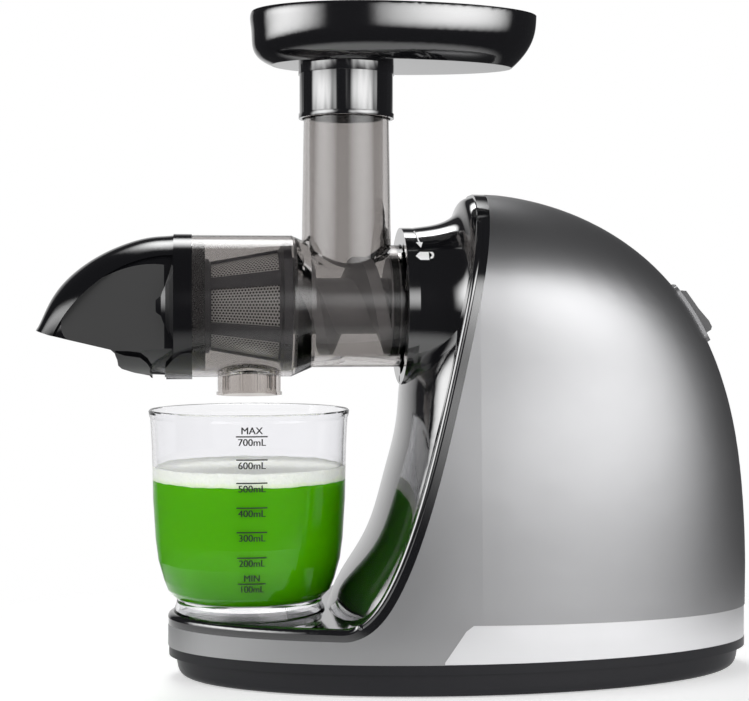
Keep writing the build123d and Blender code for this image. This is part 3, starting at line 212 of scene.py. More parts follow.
class Graph(Tree):
    """The node tree of one material, with a principled shader at its end."""

    def __init__(self, name: str) -> None:
        """Starts a material.

        Args:
            name: name of the material.
        """
        self.material = bpy.data.materials.new(name)
        super().__init__(self.material)
        self.output = self.node("ShaderNodeOutputMaterial")
        self.shader = self.node("ShaderNodeBsdfPrincipled")
        self.link(self.shader.outputs[0], self.output.inputs["Surface"])

    def set(self, **values: object) -> None:
        """Sets or links the shader's own inputs; underscores stand for spaces."""
        for key, value in values.items():
            self.feed(self.shader, key.replace("_", " "), value)

    def place(self) -> bpy.types.NodeSocket:
        """Position on the piece, in metres."""
        return self.node("ShaderNodeTexCoord").outputs["Object"]

    def axes(self) -> tuple[Num, Num, Num]:
        """X, Y and Z of the position on the piece."""
        node = self.node("ShaderNodeSeparateXYZ", None, {0: self.place()})
        return Num(self, node.outputs[0]), Num(self, node.outputs[1]), Num(self, node.outputs[2])

    def noise(self, scale: float, stretch: Point = (1, 1, 1), detail: float = 3.0) -> Num:
        """Noise over the piece.

        Args:
            scale: cells to a metre.
            stretch: factor on each axis before the noise is read.
            detail: number of finer layers.

        Returns:
            The noise, 0 to 1.
        """
        moved = self.node("ShaderNodeMapping", None, {"Vector": self.place(), "Scale": stretch})
        node = self.node("ShaderNodeTexNoise", None, {"Vector": moved.outputs[0], "Scale": scale, "Detail": detail})
        return Num(self, node.outputs[0])

    def cells(self, scale: float) -> Num:
        """Distance to the nearest cell centre, 0 to about 1."""
        node = self.node("ShaderNodeTexVoronoi", None, {"Vector": self.place(), "Scale": scale})
        return Num(self, node.outputs["Distance"])

    def mix(self, share: Operand, first: Colour, second: Colour) -> bpy.types.NodeSocket:
        """Mixes two colours.

        Args:
            share: share of the second colour, 0 to 1.
            first: the first colour.
            second: the second colour.

        Returns:
            The mixed colour.
        """
        node = self.node("ShaderNodeMix", {"data_type": "RGBA"}, {0: share, 6: (*first, 1.0), 7: (*second, 1.0)})
        return node.outputs[2]

    def bump(self, height: Num, depth: float, strength: float = 1.0) -> None:
        """Uses a height in units of depth metres as the shader's bump."""
        node = self.node("ShaderNodeBump", None, {"Height": height, "Distance": depth, "Strength": strength})
        self.feed(self.shader, "Normal", node.outputs[0])


# ---- finishes ----------------------------------------------------------------------------
class Dressing(Protocol):
    """What every finish offers."""

    @property
    def name(self) -> str:
        """Name of the material."""

    def build(self) -> bpy.types.Material:
        """Makes the material."""


class Grain(Enum):
    """Fine structure of a surface."""

    POLISHED = "polished"
    MOULDED = "moulded"
    FLAKE = "flake"
    BRUSHED = "brushed"
    CAST = "cast"


@dataclass(frozen=True)
class Finish:
    """An opaque finish with its colour, gloss and fine structure."""

    name: str
    colour: Colour
    roughness: float = 0.4
    metallic: float = 0.0
    coat: float = 0.0
    grain: Grain = Grain.MOULDED
    depth: float = 0.00002
    mottle: float = 0.06
    shine: float = 0.5

    def build(self) -> bpy.types.Material:
        """Makes the material.

        Returns:
            The finished material.
        """
        graph = Graph(self.name)
        soft = graph.noise(35.0)
        shade = tuple(c * (1.0 - self.mottle) for c in self.colour)
        light = tuple(min(1.0, c * (1.0 + self.mottle)) for c in self.colour)
        graph.set(Base_Color=graph.mix(soft, shade, light), Metallic=self.metallic)
        graph.set(Coat_Weight=self.coat, Coat_Roughness=0.04, Specular_IOR_Level=self.shine)
        self.texture(graph, soft)
        return graph.material

    def texture(self, graph: Graph, soft: Num) -> None:
        """Adds the grain's roughness and bump.

        Args:
            graph: the material's graph.
            soft: the slow noise that mottles the colour.
        """
        smear = graph.noise(9.0, (1.0, 1.0, 2.5), 2.0)
        if self.grain is Grain.POLISHED:
            graph.set(Roughness=self.roughness + smear.between(0.45, 0.75) * 0.035)
            graph.bump(graph.noise(14.0, detail=1.0), self.depth)
        elif self.grain is Grain.FLAKE:
            flakes = graph.cells(2600.0)
            graph.set(Roughness=self.roughness + flakes * 0.06 + smear * 0.03)
            graph.bump(flakes, self.depth, 0.35)
        elif self.grain is Grain.BRUSHED:
            streaks = graph.noise(40.0, (1.0, 1.0, 55.0), 4.0)
            graph.set(Roughness=self.roughness + streaks * 0.12)
            graph.bump(streaks, self.depth, 0.5)
        elif self.grain is Grain.CAST:
            graph.set(Roughness=self.roughness + soft * 0.1)
            graph.bump(graph.noise(900.0), self.depth)
        else:
            graph.set(Roughness=self.roughness + smear * 0.05)
            graph.bump(graph.noise(2200.0, detail=2.0), self.depth, 0.6)


@dataclass(frozen=True)
class ClearFinish:
    """A clear or tinted moulded plastic."""

    name: str
    colour: Colour
    roughness: float = 0.03
    index: float = 1.5
    wave: float = 0.00001

    def build(self) -> bpy.types.Material:
        """Makes the material.

        Returns:
            The finished material.
        """
        graph = Graph(self.name)
        soft = graph.noise(28.0)
        shade = tuple(c * 0.97 for c in self.colour)
        graph.set(Base_Color=graph.mix(soft, shade, self.colour), IOR=self.index)
        graph.set(Transmission_Weight=1.0, Roughness=self.roughness + soft * 0.02)
        graph.bump(graph.noise(22.0, detail=1.0), self.wave, 0.4)
        return graph.material


@dataclass(frozen=True)
class SieveFinish:
    """Bright sheet steel with staggered fine round holes round the auger's axis, the holes painted near-black as the
    shade seen through them.
    """

    name: str = "sieve_steel"
    steel: Colour = (0.88, 0.88, 0.87)
    # painted shade: colour of the holes, standing for the dark inside seen through them
    dark: Colour = (0.012, 0.012, 0.012)
    radius: float = 0.028
    pitch: float = 0.0017
    hole: float = 0.34  # radius of a hole, in pitches

    def build(self) -> bpy.types.Material:
        """Makes the material.

        Returns:
            The finished material.
        """
        graph = Graph(self.name)
        x, y, z = graph.axes()
        turn = y.angle(z - AXIS_Z) * (self.radius / self.pitch)
        along = x / self.pitch + turn.floor() * 0.5
        du = along.fract() - 0.5
        dv = turn.fract() - 0.5
        hole = (du * du + dv * dv).less(self.hole**2)
        # the holes get the painted shade
        graph.set(Base_Color=graph.mix(hole, self.steel, self.dark), Metallic=0.35)
        graph.set(Roughness=0.3 + graph.noise(300.0) * 0.1)
        return graph.material


@dataclass(frozen=True)
class JuiceFinish:
    """Cloudy green juice, darker towards the bottom as painted shade."""

    name: str = "green_juice"
    # painted shade: a shaded green at the bottom and a lit green higher up
    shaded_green: Colour = (0.01, 0.13, 0.0)
    lit_green: Colour = (0.11, 0.52, 0.0)
    low: float = 0.03
    high: float = 0.085

    def build(self) -> bpy.types.Material:
        """Makes the material.

        Returns:
            The finished material.
        """
        graph = Graph(self.name)
        _, _, z = graph.axes()
        cloud = graph.noise(26.0, (1.0, 1.0, 0.6), 4.0)
        # painted shade: share of the lit green, rising with height
        depth = (z + cloud * 0.02).between(self.low, self.high)
        graph.set(Base_Color=graph.mix(depth, self.shaded_green, self.lit_green))
        graph.set(Roughness=0.12 + cloud * 0.1, Specular_IOR_Level=0.1)
        graph.set(Subsurface_Weight=0.35, Subsurface_Radius=(0.004, 0.012, 0.001), Subsurface_Scale=1.0)
        graph.bump(cloud, 0.0003, 0.3)
        return graph.material


@dataclass(frozen=True)
class FoamFinish:
    """Pale froth of small bubbles, greener below, with a faint painted glow that stands in for light falling on it."""

    name: str = "juice_froth"
    green: Colour = (0.66, 0.84, 0.42)
    pale: Colour = (0.93, 0.95, 0.89)
    # painted light: colour of the froth's glow
    painted_glow: Colour = (0.9, 0.93, 0.86)
    low: float = 0.1075
    high: float = 0.1135

    def build(self) -> bpy.types.Material:
        """Makes the material.

        Returns:
            The finished material.
        """
        graph = Graph(self.name)
        _, _, z = graph.axes()
        bubbles = graph.cells(620.0)
        drift = graph.noise(60.0, (1.0, 1.0, 0.5), 3.0)
        rise = (z + (drift - 0.5) * 0.004 + (bubbles - 0.5) * 0.001).between(self.low, self.high)
        graph.set(Base_Color=graph.mix(rise, self.green, self.pale))
        # painted light: the froth glows faintly in place of light falling on its top
        graph.set(Emission_Color=(*self.painted_glow, 1.0), Emission_Strength=0.27)
        graph.set(Roughness=0.45 + bubbles * 0.2)
        graph.set(Subsurface_Weight=0.25, Subsurface_Radius=(0.003, 0.003, 0.002))
        graph.bump(bubbles, 0.0006, 0.7)
        return graph.material


@dataclass(frozen=True)
class CapFinish:
    """Gloss black with satin charcoal on the two flat side panels."""

    name: str = "cap_black"
    gloss: Colour = (0.006, 0.006, 0.007)
    panel: Colour = (0.034, 0.034, 0.034)
    end: float = -0.130  # the panels lie below this X
    edge: tuple[float, float] = (0.965, 0.982)  # squared Y of the normal, from gloss to panel

    def build(self) -> bpy.types.Material:
        """Makes the material.

        Returns:
            The finished material.
        """
        graph = Graph(self.name)
        x, _, _ = graph.axes()
        normal = graph.node("ShaderNodeSeparateXYZ", None, {0: graph.node("ShaderNodeNewGeometry").outputs["Normal"]})
        across = Num(graph, normal.outputs[1])
        side = (across * across).between(*self.edge) * x.less(self.end)
        smear = graph.noise(12.0, (1.0, 1.0, 2.5), 2.0)
        graph.set(Base_Color=graph.mix(side, self.gloss, self.panel))
        graph.set(Roughness=0.09 + side * 0.36 + smear * 0.03, Coat_Weight=0.0)
        graph.bump(graph.noise(1800.0, detail=2.0), 0.00001, 0.4)
        return graph.material


FINE = 0.00001  # depth of a fine grain
SHELL = Finish("satin_grey", (0.30, 0.30, 0.305), 0.38, metallic=0.92, grain=Grain.FLAKE, depth=FINE, mottle=0.03)
GLOSS = Finish("gloss_black", (0.006, 0.006, 0.007), 0.09, coat=1.0, grain=Grain.POLISHED, shine=1.0)
TRIM = Finish("brushed_silver", (0.68, 0.68, 0.69), 0.34, metallic=0.9, grain=Grain.BRUSHED, depth=FINE, mottle=0.03)
BASE = Finish("base_black", (0.010, 0.010, 0.012), 0.34, shine=0.22)
BEZEL = Finish("bezel_grey", (0.22, 0.22, 0.225), 0.35, metallic=0.3)
ROCKER = Finish("rocker_grey", (0.06, 0.06, 0.062), 0.35)
RUBBER = Finish("rubber_black", (0.02, 0.02, 0.02), 0.75)
STEEL = Finish("machined_steel", (0.62, 0.62, 0.63), 0.24, metallic=1.0, grain=Grain.BRUSHED)
CASE = Finish("case_plastic", (0.08, 0.08, 0.085), 0.5, grain=Grain.CAST)
BRONZE = Finish("sintered_bronze", (0.50, 0.33, 0.15), 0.4, metallic=0.9, grain=Grain.CAST)
ZINC = Finish("zinc_plate", (0.55, 0.56, 0.58), 0.32, metallic=0.9, grain=Grain.CAST)
STACK = Finish("lamination_stack", (0.12, 0.12, 0.13), 0.45, metallic=0.8, grain=Grain.BRUSHED)
COPPER = Finish("copper_wire", (0.72, 0.28, 0.10), 0.3, metallic=0.9, grain=Grain.BRUSHED)
BOARD = Finish("board_green", (0.02, 0.14, 0.06), 0.4, coat=0.2)
FILM = Finish("capacitor_yellow", (0.62, 0.44, 0.04), 0.3, coat=0.1)
NYLON = Finish("nylon_white", (0.74, 0.73, 0.68), 0.45)
AUGER = Finish("auger_grey", (0.42, 0.42, 0.43), 0.34, coat=0.1)
FRAME = Finish("frame_grey", (0.12, 0.12, 0.135), 0.4)
INK = Finish("ink_black", (0.004, 0.004, 0.004), 0.5, depth=FINE)
WHITE_INK = Finish("ink_white", (0.9, 0.9, 0.9), 0.5, depth=FINE)
SPOUT = ClearFinish("spout_clear", (0.62, 0.59, 0.57), 0.03, 1.45)
SMOKY = ClearFinish("smoky_clear", (0.50, 0.48, 0.47), 0.03, 1.42)
CLEAR = ClearFinish("clear_plastic", (0.955, 0.955, 0.97), 0.02, 1.3)
JUICE = JuiceFinish()
FOAM = FoamFinish()

NODE_FINISH: dict[str, Dressing] = {
    "body_shell": SHELL,
    "front_panel": GLOSS,
    "trim_band": TRIM,
    "base_plate": BASE,
    "rubber_feet": RUBBER,
    "base_screws": STEEL,
    "cord_gland": RUBBER,
    "collar_ring": GLOSS,
    "collar_screws": STEEL,
    "gear_case": CASE,
    "gear_cover": CASE,
    "case_screws": STEEL,
    "output_bushes": BRONZE,
    "counter_bushes": BRONZE,
    "shaft_seal": RUBBER,
    "motor_can": ZINC,
    "end_bell": ZINC,
    "motor_bearings": STEEL,
    "stator_core": STACK,
    "field_coils": COPPER,
    "brush_holders": BRONZE,
    "circuit_board": BOARD,
    "capacitors": FILM,
    "switch_bezel": BEZEL,
    "switch_body": CASE,
    "output_shaft": STEEL,
    "output_gear": NYLON,
    "auger": AUGER,
    "auger_seal": RUBBER,
    "counter_shaft": STEEL,
    "counter_pinion": STEEL,
    "counter_gear": NYLON,
    "rotor_shaft": STEEL,
    "motor_pinion": STEEL,
    "armature_core": STACK,
    "commutator": COPPER,
    "cooling_fan": NYLON,
    "juicing_chamber": SMOKY,
    "juice_spout": SPOUT,
    "strainer_frame": FRAME,
    "strainer_mesh": SieveFinish(),
    "end_cap": CapFinish(),
    "cap_bush": BRONZE,
    "feed_tray": GLOSS,
    "juice_cup": CLEAR,
    "juice": JUICE,
    "juice_foam": FOAM,
    "switch_rocker": ROCKER,
}

MATERIALS: dict[str, bpy.types.Material] = {}


def material(finish: Dressing) -> bpy.types.Material:
    """The material of a finish, made once.

    Args:
        finish: the finish.

    Returns:
        Its material.
    """
    if finish.name not in MATERIALS:
        MATERIALS[finish.name] = finish.build()
    return MATERIALS[finish.name]


def dress(piece: bpy.types.Object, finish: Dressing) -> None:
    """Gives a piece one material over all of it."""
    piece.data.materials.clear()
    piece.data.materials.append(material(finish))


def soften(piece: bpy.types.Object, width: float, angle: float = 32.0, segments: int = 3) -> None:
    """Rounds the hard edges of a piece with modifiers.

    Args:
        piece: the piece.
        width: width of the rounding.
        angle: angle from which an edge counts as hard, in degrees.
        segments: steps over the rounding.
    """
    weld = piece.modifiers.new("joined_corners", "WELD")
    weld.merge_threshold = JOIN
    bevel = piece.modifiers.new("soft_edges", "BEVEL")
    bevel.width = width
    bevel.segments = segments
    bevel.limit_method = "ANGLE"
    bevel.angle_limit = math.radians(angle)
    bevel.harden_normals = True
    bevel.use_clamp_overlap = True


def mesh_piece(
    name: str, points: Sequence[Point], faces: Sequence[Sequence[int]], body: str, finish: Dressing
) -> bpy.types.Object:
    """Makes a mesh piece that rides on a body.

    Args:
        name: name of the piece.
        points: its vertices.
        faces: its faces.
        body: the CAD body it rides on.
        finish: its finish.

    Returns:
        The piece.
    """
    data = bpy.data.meshes.new(name)
    data.from_pydata([Vector(p) for p in points], [], [list(f) for f in faces])
    data.update()
    piece = bpy.data.objects.new(name, data)
    bpy.context.scene.collection.objects.link(piece)
    dress(piece, finish)
    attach(piece, body)
    LOG.info("piece %s on %s", name, body)
    return piece


# ---- walls found by rays -----------------------------------------------------------------
@dataclass
class Wall:
    """The wall of a round CAD piece, found by rays across its upright axis."""

    node: bpy.types.Object
    centre_x: float

    def __post_init__(self) -> None:
        """Prepares the ray search."""
        data = self.node.data
        self.tree = BVHTree.FromPolygons([v.co for v in data.vertices], [p.vertices for p in data.polygons])

    def outside(self, angle: float, z: float) -> float:
        """Outer radius of the wall.

        Args:
            angle: angle about the axis, in radians.
            z: height.

        Returns:
            The radius.
        """
        way = Vector((math.cos(angle), math.sin(angle), 0.0))
        start = Vector((self.centre_x, 0.0, z)) + way * REACH
        return REACH - self.tree.ray_cast(start, -way)[3]

    def inside(self, angle: float, z: float) -> float:
        """Inner radius at an angle and a height."""
        way = Vector((math.cos(angle), math.sin(angle), 0.0))
        return self.tree.ray_cast(Vector((self.centre_x, 0.0, z)), way)[3]


# ---- printed marks -----------------------------------------------------------------------
@dataclass
class CupMarks:
    """The volume marks printed on the cup: rows of a bar's height and the words above and below it."""

    wall: Wall
    facing: float = math.radians(-90.6)
    rows: tuple[tuple[float, str, str], ...] = (
        (0.1368, "MAX", "700mL"),
        (0.1246, "", "600mL"),
        (0.1124, "", "500mL"),
        (0.0994, "", "400mL"),
        (0.0864, "", "300mL"),
        (0.0729, "", "200mL"),
        (0.0587, "MIN", "100mL"),
    )
    bend: float = 0.053  # radius that turns a width into an angle
    bar: float = 0.0162  # length of a bar
    steps: int = 8
    line: float = 0.0007  # thickness of a bar
    letter: float = 0.0052
    below: float = 0.0032
    above: float = 0.0029
    lift: float = 0.0004
    weight: float = 0.0001  # the words are printed twice, this far to each side

    def wrap(self, u: float, z: float) -> Point:
        """A point just outside the cup.

        Args:
            u: distance to the right of the marks' middle.
            z: height.

        Returns:
            The point.
        """
        a = self.facing + u / self.bend
        r = self.wall.outside(a, z) + self.lift
        return self.wall.centre_x + r * math.cos(a), r * math.sin(a), z

    def letters(self, words: str, z: float) -> None:
        """Prints words.

        Args:
            words: what they say.
            z: height of their middle.
        """
        curve = bpy.data.curves.new("words", "FONT")
        curve.body = words
        curve.size = self.letter
        curve.align_x = "CENTER"
        curve.align_y = "CENTER"
        holder = bpy.data.objects.new("words", curve)
        bpy.context.scene.collection.objects.link(holder)
        bpy.context.view_layer.update()
        data = bpy.data.meshes.new_from_object(holder)
        bpy.data.objects.remove(holder)
        points: list[Point] = []
        faces: list[list[int]] = []
        for shift in (-self.weight, self.weight):
            start = len(points)
            points += [self.wrap(v.co.x + shift, z + v.co.y) for v in data.vertices]
            faces += [[start + i for i in p.vertices] for p in data.polygons]
        mesh_piece(f"cup_mark_{words}", points, faces, "cup", INK)

    def build(self) -> None:
        """Prints every row."""
        for z, above, below in self.rows:
            points: list[Point] = []
            for i in range(self.steps + 1):
                u = self.bar * (i / self.steps - 0.5)
                points += [self.wrap(u, z - self.line / 2), self.wrap(u, z + self.line / 2)]
            faces = [(2 * i, 2 * i + 2, 2 * i + 3, 2 * i + 1) for i in range(self.steps)]
            mesh_piece(f"cup_bar_{below}", points, faces, "cup", INK)
            self.letters(below, z - self.below)
            if above:
                self.letters(above, z + self.above)


@dataclass
class NeckMarks:
    """The small lock symbol and the arrow above it, printed on the neck's near side.

    Each shape is given by rows of its left X, right X and Z, in millimetres.
    """

    walls: Sequence[bpy.types.Object]
    lift: float = 0.0003
    cuts: int = 5
    shapes: tuple[tuple[str, tuple[Point, ...]], ...] = (
        ("neck_arrow_shaft", ((5.9, 6.6, 246.0), (7.1, 7.8, 239.4))),
        ("neck_arrow_head", ((5.7, 9.3, 239.4), (7.75, 7.85, 236.4))),
        ("neck_lock_body", ((6.9, 11.6, 234.0), (4.4, 11.6, 231.8), (6.9, 11.6, 229.6))),
        ("neck_lock_bow", ((11.6, 13.6, 234.0), (12.9, 14.3, 233.2), (13.2, 14.3, 231.9),
                           (12.2, 13.8, 230.9), (12.0, 13.0, 230.3))),
    )

    def __post_init__(self) -> None:
        """Prepares the ray search."""
        points: list[Vector] = []
        faces: list[list[int]] = []
        for wall in self.walls:
            start = len(points)
            points += [v.co.copy() for v in wall.data.vertices]
            faces += [[start + i for i in p.vertices] for p in wall.data.polygons]
        self.tree = BVHTree.FromPolygons(points, faces)

    def on_neck(self, x: float, z: float) -> Point:
        """A point just outside the neck's near side, x and z in millimetres."""
        place, normal, _, _ = self.tree.ray_cast(Vector((x * MM, -REACH, z * MM)), Vector((0.0, 1.0, 0.0)))
        return tuple(place + normal * math.copysign(self.lift, -normal.y))

    def flat(self, name: str, outline: Sequence[Point]) -> None:
        """Prints one filled shape.

        Args:
            name: name of the piece.
            outline: its rows, from top to bottom.
        """
        points: list[Point] = []
        for (a0, b0, z0), (a1, b1, z1) in zip(outline, outline[1:]):
            for k in range(self.cuts + 1):
                t = k / self.cuts
                points.append(self.on_neck(a0 + (a1 - a0) * t, z0 + (z1 - z0) * t))
                points.append(self.on_neck(b0 + (b1 - b0) * t, z0 + (z1 - z0) * t))
        faces = [(2 * k, 2 * k + 1, 2 * k + 3, 2 * k + 2) for k in range(len(points) // 2 - 1)]
        mesh_piece(name, points, faces, "housing", WHITE_INK)

    def build(self) -> None:
        """Prints the arrow and the lock."""
        for name, outline in self.shapes:
            self.flat(name, outline)


# ---- juice and froth ---------------------------------------------------------------------
@dataclass
class Filling:
    """The juice and its froth, turned so that they touch the cup's wall."""

    wall: Wall
    level: float
    bite: float = 0.00013  # overlap with the wall
    around: int = 96
    juice_steps: int = 26
    froth_steps: int = 8
    read_at: float = 0.3  # angle at which the wall's radius is read
    first: float = 0.0006  # first ring on the wall, above the floor
    under: float = 0.0002  # flat bottom, above the floor
    dip: float = 0.0004  # the froth starts this far below the juice's level
    ripple: float = 0.00035  # unevenness of the froth
    crest: tuple[tuple[float, float], ...] = ((0.93, 0.0012), (0.7, 0.0014), (0.4, 0.0012), (0.15, 0.0014))

    def turned(self, name: str, node: str, profile: Rings, ripple: float, finish: Dressing) -> None:
        """Turns a profile from the axis at its bottom to the axis at its top.

        Args:
            name: name of the piece.
            node: the CAD node it stands for.
            profile: radius and height of each ring, without the two ends on the axis.
            ripple: unevenness of the rings' heights.
            finish: its finish.
        """
        x = self.wall.centre_x
        points: list[Point] = [(x, 0.0, profile[0][1])]
        for k, (r, z) in enumerate(profile):
            for i in range(self.around):
                a = math.tau * i / self.around
                wave = ripple * (math.sin(7 * a + k) + math.sin(13 * a + 2 * k) + math.sin(29 * a)) / 3.0
                points.append((x + r * math.cos(a), r * math.sin(a), z + wave))
        points.append((x, 0.0, profile[-1][1]))
        n = self.around
        faces: list[Sequence[int]] = [(0, 1 + (i + 1) % n, 1 + i) for i in range(n)]
        for k in range(len(profile) - 1):
            row = 1 + k * n
            faces += [(row + i, row + (i + 1) % n, row + n + (i + 1) % n, row + n + i) for i in range(n)]
        last = 1 + (len(profile) - 1) * n
        faces += [(last + i, last + (i + 1) % n, len(points) - 1) for i in range(n)]
        piece = mesh_piece(name, points, faces, "cup", finish)
        for polygon in piece.data.polygons:
            polygon.use_smooth = True
        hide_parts(node)

    def ring(self, z: float) -> tuple[float, float]:
        """Radius just inside the wall at a height, with the height."""
        return self.wall.inside(self.read_at, z) + self.bite, z

    def build(self, floor: float, crown: float) -> None:
        """Fills the cup.

        Args:
            floor: height of the cup's inner floor.
            crown: height of the froth's top at its edge.
        """
        rise = self.level - floor - self.first
        side = [self.ring(floor + self.first + rise * k / self.juice_steps) for k in range(self.juice_steps + 1)]
        flat = [(side[0][0] * share, floor + self.under) for share in (0.3, 0.8, 0.97)]
        edge = side[-1][0]
        self.turned("green_juice", "juice", flat + side + [(edge * 0.5, self.level)], 0.0, JUICE)
        froth = [(edge * 0.5, self.level - self.dip), (edge, self.level - self.dip)]
        for k in range(1, self.froth_steps + 1):
            froth.append(self.ring(self.level + (crown - self.level) * k / self.froth_steps))
        top = froth[-1][0]
        froth += [(top * share, crown - drop) for share, drop in self.crest]
        self.turned("froth", "juice_foam", froth, self.ripple, FOAM)


# ---- rim bead ----------------------------------------------------------------------------
@dataclass
class RimBead:
    """The rounded bead along the side corners of the front panel's rim."""

    panel: bpy.types.Object
    size: float = 0.0019
    inward: float = 0.0013
    around: int = 14
    sharp: float = math.radians(40.0)
    side_y: float = 0.6  # a side face's normal has at least this much Y
    front_y: float = 0.2  # a front or top face's normal has less Y than this
    front_x: float = -0.3  # a front face's normal has less X than this
    top_z: float = 0.5  # a top face's normal has more Z than this
    deck_z: float = 0.06  # below this height the corner runs along the deck
    deck_x: float = -0.112  # there it is followed from this X on
    thin: float = 0.55  # share of the bead's size at its ends
    grow: float = 0.15  # what each point further in adds to that share

    def on_rim(self, flat: Vector, front: Vector, middle: Vector) -> bool:
        """Whether an edge belongs to one of the rim's side corners.

        Args:
            flat: normal of the side face at the edge.
            front: normal of the front or top face at the edge.
            middle: middle of the edge.

        Returns:
            True for an edge of the rim.
        """
        outward = flat.y * middle.y > 0.0 and abs(flat.y) >= self.side_y
        forward = abs(front.y) < self.front_y and (front.x < self.front_x or front.z > self.top_z)
        return outward and forward and (middle.z >= self.deck_z or middle.x >= self.deck_x)

    def chains(self) -> list[list[tuple[Vector, Vector]]]:
        """The rim's two front corners.

        Returns:
            For each side, points from one end to the other, each with the way into the rim.
        """
        mesh = bmesh.new()
        mesh.from_mesh(self.panel.data)
        bmesh.ops.remove_doubles(mesh, verts=mesh.verts[:], dist=JOIN)
        steps: dict[bmesh.types.BMVert, list[bmesh.types.BMVert]] = {}
        inner: dict[bmesh.types.BMVert, Vector] = {}
        for edge in mesh.edges:
            if len(edge.link_faces) != 2 or edge.calc_face_angle(0.0) < self.sharp:
                continue
            flat, front = sorted((f.normal for f in edge.link_faces), key=lambda n: -abs(n.y))
            if not self.on_rim(flat, front, (edge.verts[0].co + edge.verts[1].co) / 2.0):
                continue
            for a, b in (edge.verts, reversed(edge.verts)):
                steps.setdefault(a, []).append(b)
                inner[a] = inner.get(a, Vector()) + (-flat - front)
        found: list[list[tuple[Vector, Vector]]] = []
        left = set(steps)
        while left:
            ends = [v for v in left if len(steps[v]) == 1]
            here = min(ends or left, key=lambda v: v.index)
            chain: list[bmesh.types.BMVert] = []
            while here is not None:
                chain.append(here)
                left.discard(here)
                here = next((v for v in steps[here] if v in left), None)
            found.append([(v.co.copy(), inner[v].normalized()) for v in chain])
        mesh.free()
        return sorted(found, key=lambda c: -sum((p[0] - q[0]).length for p, q in zip(c, c[1:])))[:2]

    def build(self) -> None:
        """Lays both beads."""
        n = self.around
        for number, chain in enumerate(self.chains()):
            path = [point + way * (self.inward * math.sqrt(2.0)) for point, way in chain]
            points: list[Point] = []
            for k, place in enumerate(path):
                ahead = (path[min(k + 1, len(path) - 1)] - path[max(k - 1, 0)]).normalized()
                first = (chain[k][1] - ahead * ahead.dot(chain[k][1])).normalized()
                second = ahead.cross(first)
                taper = min(1.0, self.thin + self.grow * min(k, len(path) - 1 - k))
                for i in range(n):
                    a = math.tau * i / n
                    points.append(tuple(place + (first * math.cos(a) + second * math.sin(a)) * self.size * taper))
            faces: list[Sequence[int]] = [tuple(range(n)), tuple(range(len(points) - 1, len(points) - 1 - n, -1))]
            for k in range(len(path) - 1):
                faces += [(k * n + i, k * n + n + i, k * n + n + (i + 1) % n, k * n + (i + 1) % n) for i in range(n)]
            bead = mesh_piece(f"rim_bead_{number}", points, faces, "housing", GLOSS)
            for polygon in bead.data.polygons:
                polygon.use_smooth = len(polygon.vertices) == 4
            LOG.info("bead %d follows %d points", number, len(path))


# ---- the CAD pieces ----------------------------------------------------------------------
@dataclass
class Housing:
    """The CAD pieces and how their edges are softened."""

    nodes: dict[str, bpy.types.Object]
    soft: dict[str, float] = field(
        default_factory=lambda: {"feed_tray": 0.0007, "switch_rocker": 0.0005, "rubber_feet": 0.0004}
    )

    def build(self) -> None:
        """Dresses every CAD node."""
        for name, finish in NODE_FINISH.items():
            piece = self.nodes[name]
            dress(piece, finish)
            if name in self.soft:
                soften(piece, self.soft[name])
            LOG.info("node %s dressed as %s", name, finish.name)


# ---- studio ------------------------------------------------------------------------------
@dataclass(frozen=True)
class Softbox:
    """One rectangular light that fades towards its edges and isn't seen itself, other than mirrored."""

    name: str
    at: Point
    aim: Point
    size: tuple[float, float]
    power: float
    soft: float  # how fast it fades towards its edges
    even: float = 16.0  # u (1 - u) v (1 - v) is a sixteenth in the middle
    peak: float = 2.25  # strength of the middle, before it is raised to the power soft

    def hang(self) -> None:
        """Adds the light to the scene."""
        data = bpy.data.lights.new(self.name, "AREA")
        data.shape = "RECTANGLE"
        data.size, data.size_y = self.size
        data.energy = self.power
        tree = Tree(data)
        across = tree.node("ShaderNodeSeparateXYZ", None, {0: tree.node("ShaderNodeNewGeometry").outputs["Parametric"]})
        u = Num(tree, across.outputs[0])
        v = Num(tree, across.outputs[1])
        middle = (u * (1.0 - u) * v * (1.0 - v)) * self.even
        strength = (middle * self.peak) ** self.soft
        lit = tree.node("ShaderNodeEmission", None, {"Color": (1, 1, 1, 1), "Strength": strength})
        tree.link(lit.outputs[0], tree.node("ShaderNodeOutputLight").inputs[0])
        lamp = bpy.data.objects.new(self.name, data)
        lamp.location = self.at
        lamp.rotation_euler = (Vector(self.aim) - Vector(self.at)).to_track_quat("-Z", "Y").to_euler()
        lamp.visible_camera = lamp.visible_transmission = False
        bpy.context.scene.collection.objects.link(lamp)


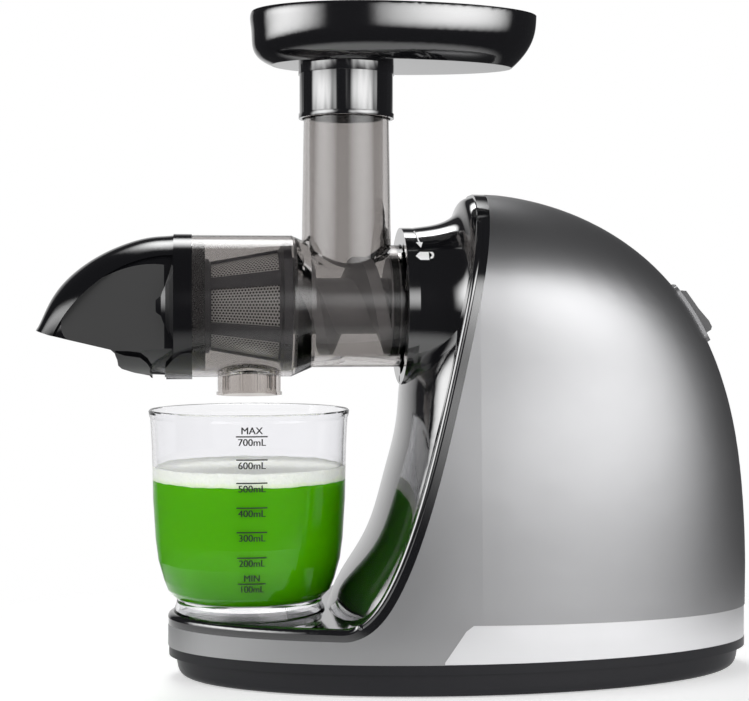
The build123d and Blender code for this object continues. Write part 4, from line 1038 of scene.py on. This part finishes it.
@dataclass
class Studio:
    """Floor, lights, background and camera."""

    eye: Point = (-0.1149, -0.8994, 0.205)
    turn: float = 6.4
    dip: float = 1.573
    lens: float = 77.86
    sensor: float = 36.0
    floor_half: float = 3.0
    floor_tint: Colour = (0.93, 0.93, 0.93)
    floor_middle: float = 0.03  # X from which the floor's fading is measured
    floor_squash: float = 1.6  # how much sooner the floor fades in Y
    floor_fade: tuple[float, float] = (0.22, 0.42)
    floor_glow: float = 0.42
    haze: Colour = (0.04, 0.04, 0.043)
    softboxes: tuple[Softbox, ...] = (
        Softbox("right_wall", (0.98, -1.32, 0.56), (0.05, 0.0, 0.45), (2.7, 1.2), 22.0, 1.5),
        Softbox("left_wall", (-1.50, -0.70, 0.56), (0.0, 0.0, 0.45), (2.5, 1.2), 20.0, 1.5),
        Softbox("top_box", (-0.1, 0.65, 1.3), (0.0, 0.0, 0.2), (1.0, 0.8), 7.0, 1.5),
        Softbox("rear_box", (-0.15, 1.4, 0.3), (0.0, 0.0, 0.2), (2.0, 1.2), 3.6, 0.5),
    )

    def floor(self) -> None:
        """Lays the pale floor, which fades out round the object."""
        data = bpy.data.meshes.new("floor")
        s = self.floor_half
        data.from_pydata([(-s, -s, 0), (s, -s, 0), (s, s, 0), (-s, s, 0)], [], [(0, 1, 2, 3)])
        floor = bpy.data.objects.new("floor", data)
        bpy.context.scene.collection.objects.link(floor)
        graph = Graph("pale_floor")
        x, y, _ = graph.axes()
        along = x - self.floor_middle
        away = (along * along + y * y * self.floor_squash) ** 0.5
        graph.set(Base_Color=(*self.floor_tint, 1.0), Roughness=0.6, Alpha=1.0 - away.between(*self.floor_fade))
        graph.set(Emission_Color=(1, 1, 1, 1), Emission_Strength=self.floor_glow)
        data.materials.append(graph.material)

    def world(self) -> None:
        """White to the camera and through clear pieces, dark grey to everything else."""
        world = bpy.data.worlds.new("studio")
        bpy.context.scene.world = world
        tree = Tree(world)
        path = tree.node("ShaderNodeLightPath")
        seen = Num(tree, path.outputs["Is Camera Ray"]) + Num(tree, path.outputs["Is Transmission Ray"])
        dim = tree.node("ShaderNodeBackground", None, {0: (*self.haze, 1.0)})
        white = tree.node("ShaderNodeBackground", None, {0: (1, 1, 1, 1)})
        mix = tree.node("ShaderNodeMixShader", None, {0: seen, 1: dim.outputs[0], 2: white.outputs[0]})
        tree.link(mix.outputs[0], tree.node("ShaderNodeOutputWorld").inputs[0])

    def camera(self) -> None:
        """Sets up the camera."""
        data = bpy.data.cameras.new("camera")
        data.lens = self.lens
        data.sensor_width = self.sensor
        data.dof.use_dof = False
        eye = bpy.data.objects.new("camera", data)
        eye.location = self.eye
        eye.rotation_euler = (math.radians(90.0 - self.dip), 0.0, math.radians(-self.turn))
        bpy.context.scene.collection.objects.link(eye)
        bpy.context.scene.camera = eye
        bpy.context.scene.view_settings.view_transform = "Standard"

    def build(self) -> None:
        """Builds the studio."""
        self.floor()
        for softbox in self.softboxes:
            softbox.hang()
        self.world()
        self.camera()


def main() -> None:
    """Builds the whole scene."""
    logging.basicConfig(level=logging.INFO)
    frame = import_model()
    nodes = frame["nodes"]
    Housing(nodes).build()
    cup = Wall(nodes["juice_cup"], (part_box("juice_cup")[0][0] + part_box("juice_cup")[1][0]) / 2.0)
    juice_low, juice_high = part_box("juice")[0][2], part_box("juice")[1][2]
    Filling(cup, juice_high + JUICE_RISE).build(juice_low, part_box("juice_foam")[1][2])
    CupMarks(cup).build()
    RimBead(nodes["front_panel"]).build()
    NeckMarks((nodes["front_panel"], nodes["collar_ring"])).build()
    Studio().build()


if __name__ == "__main__":
    main()
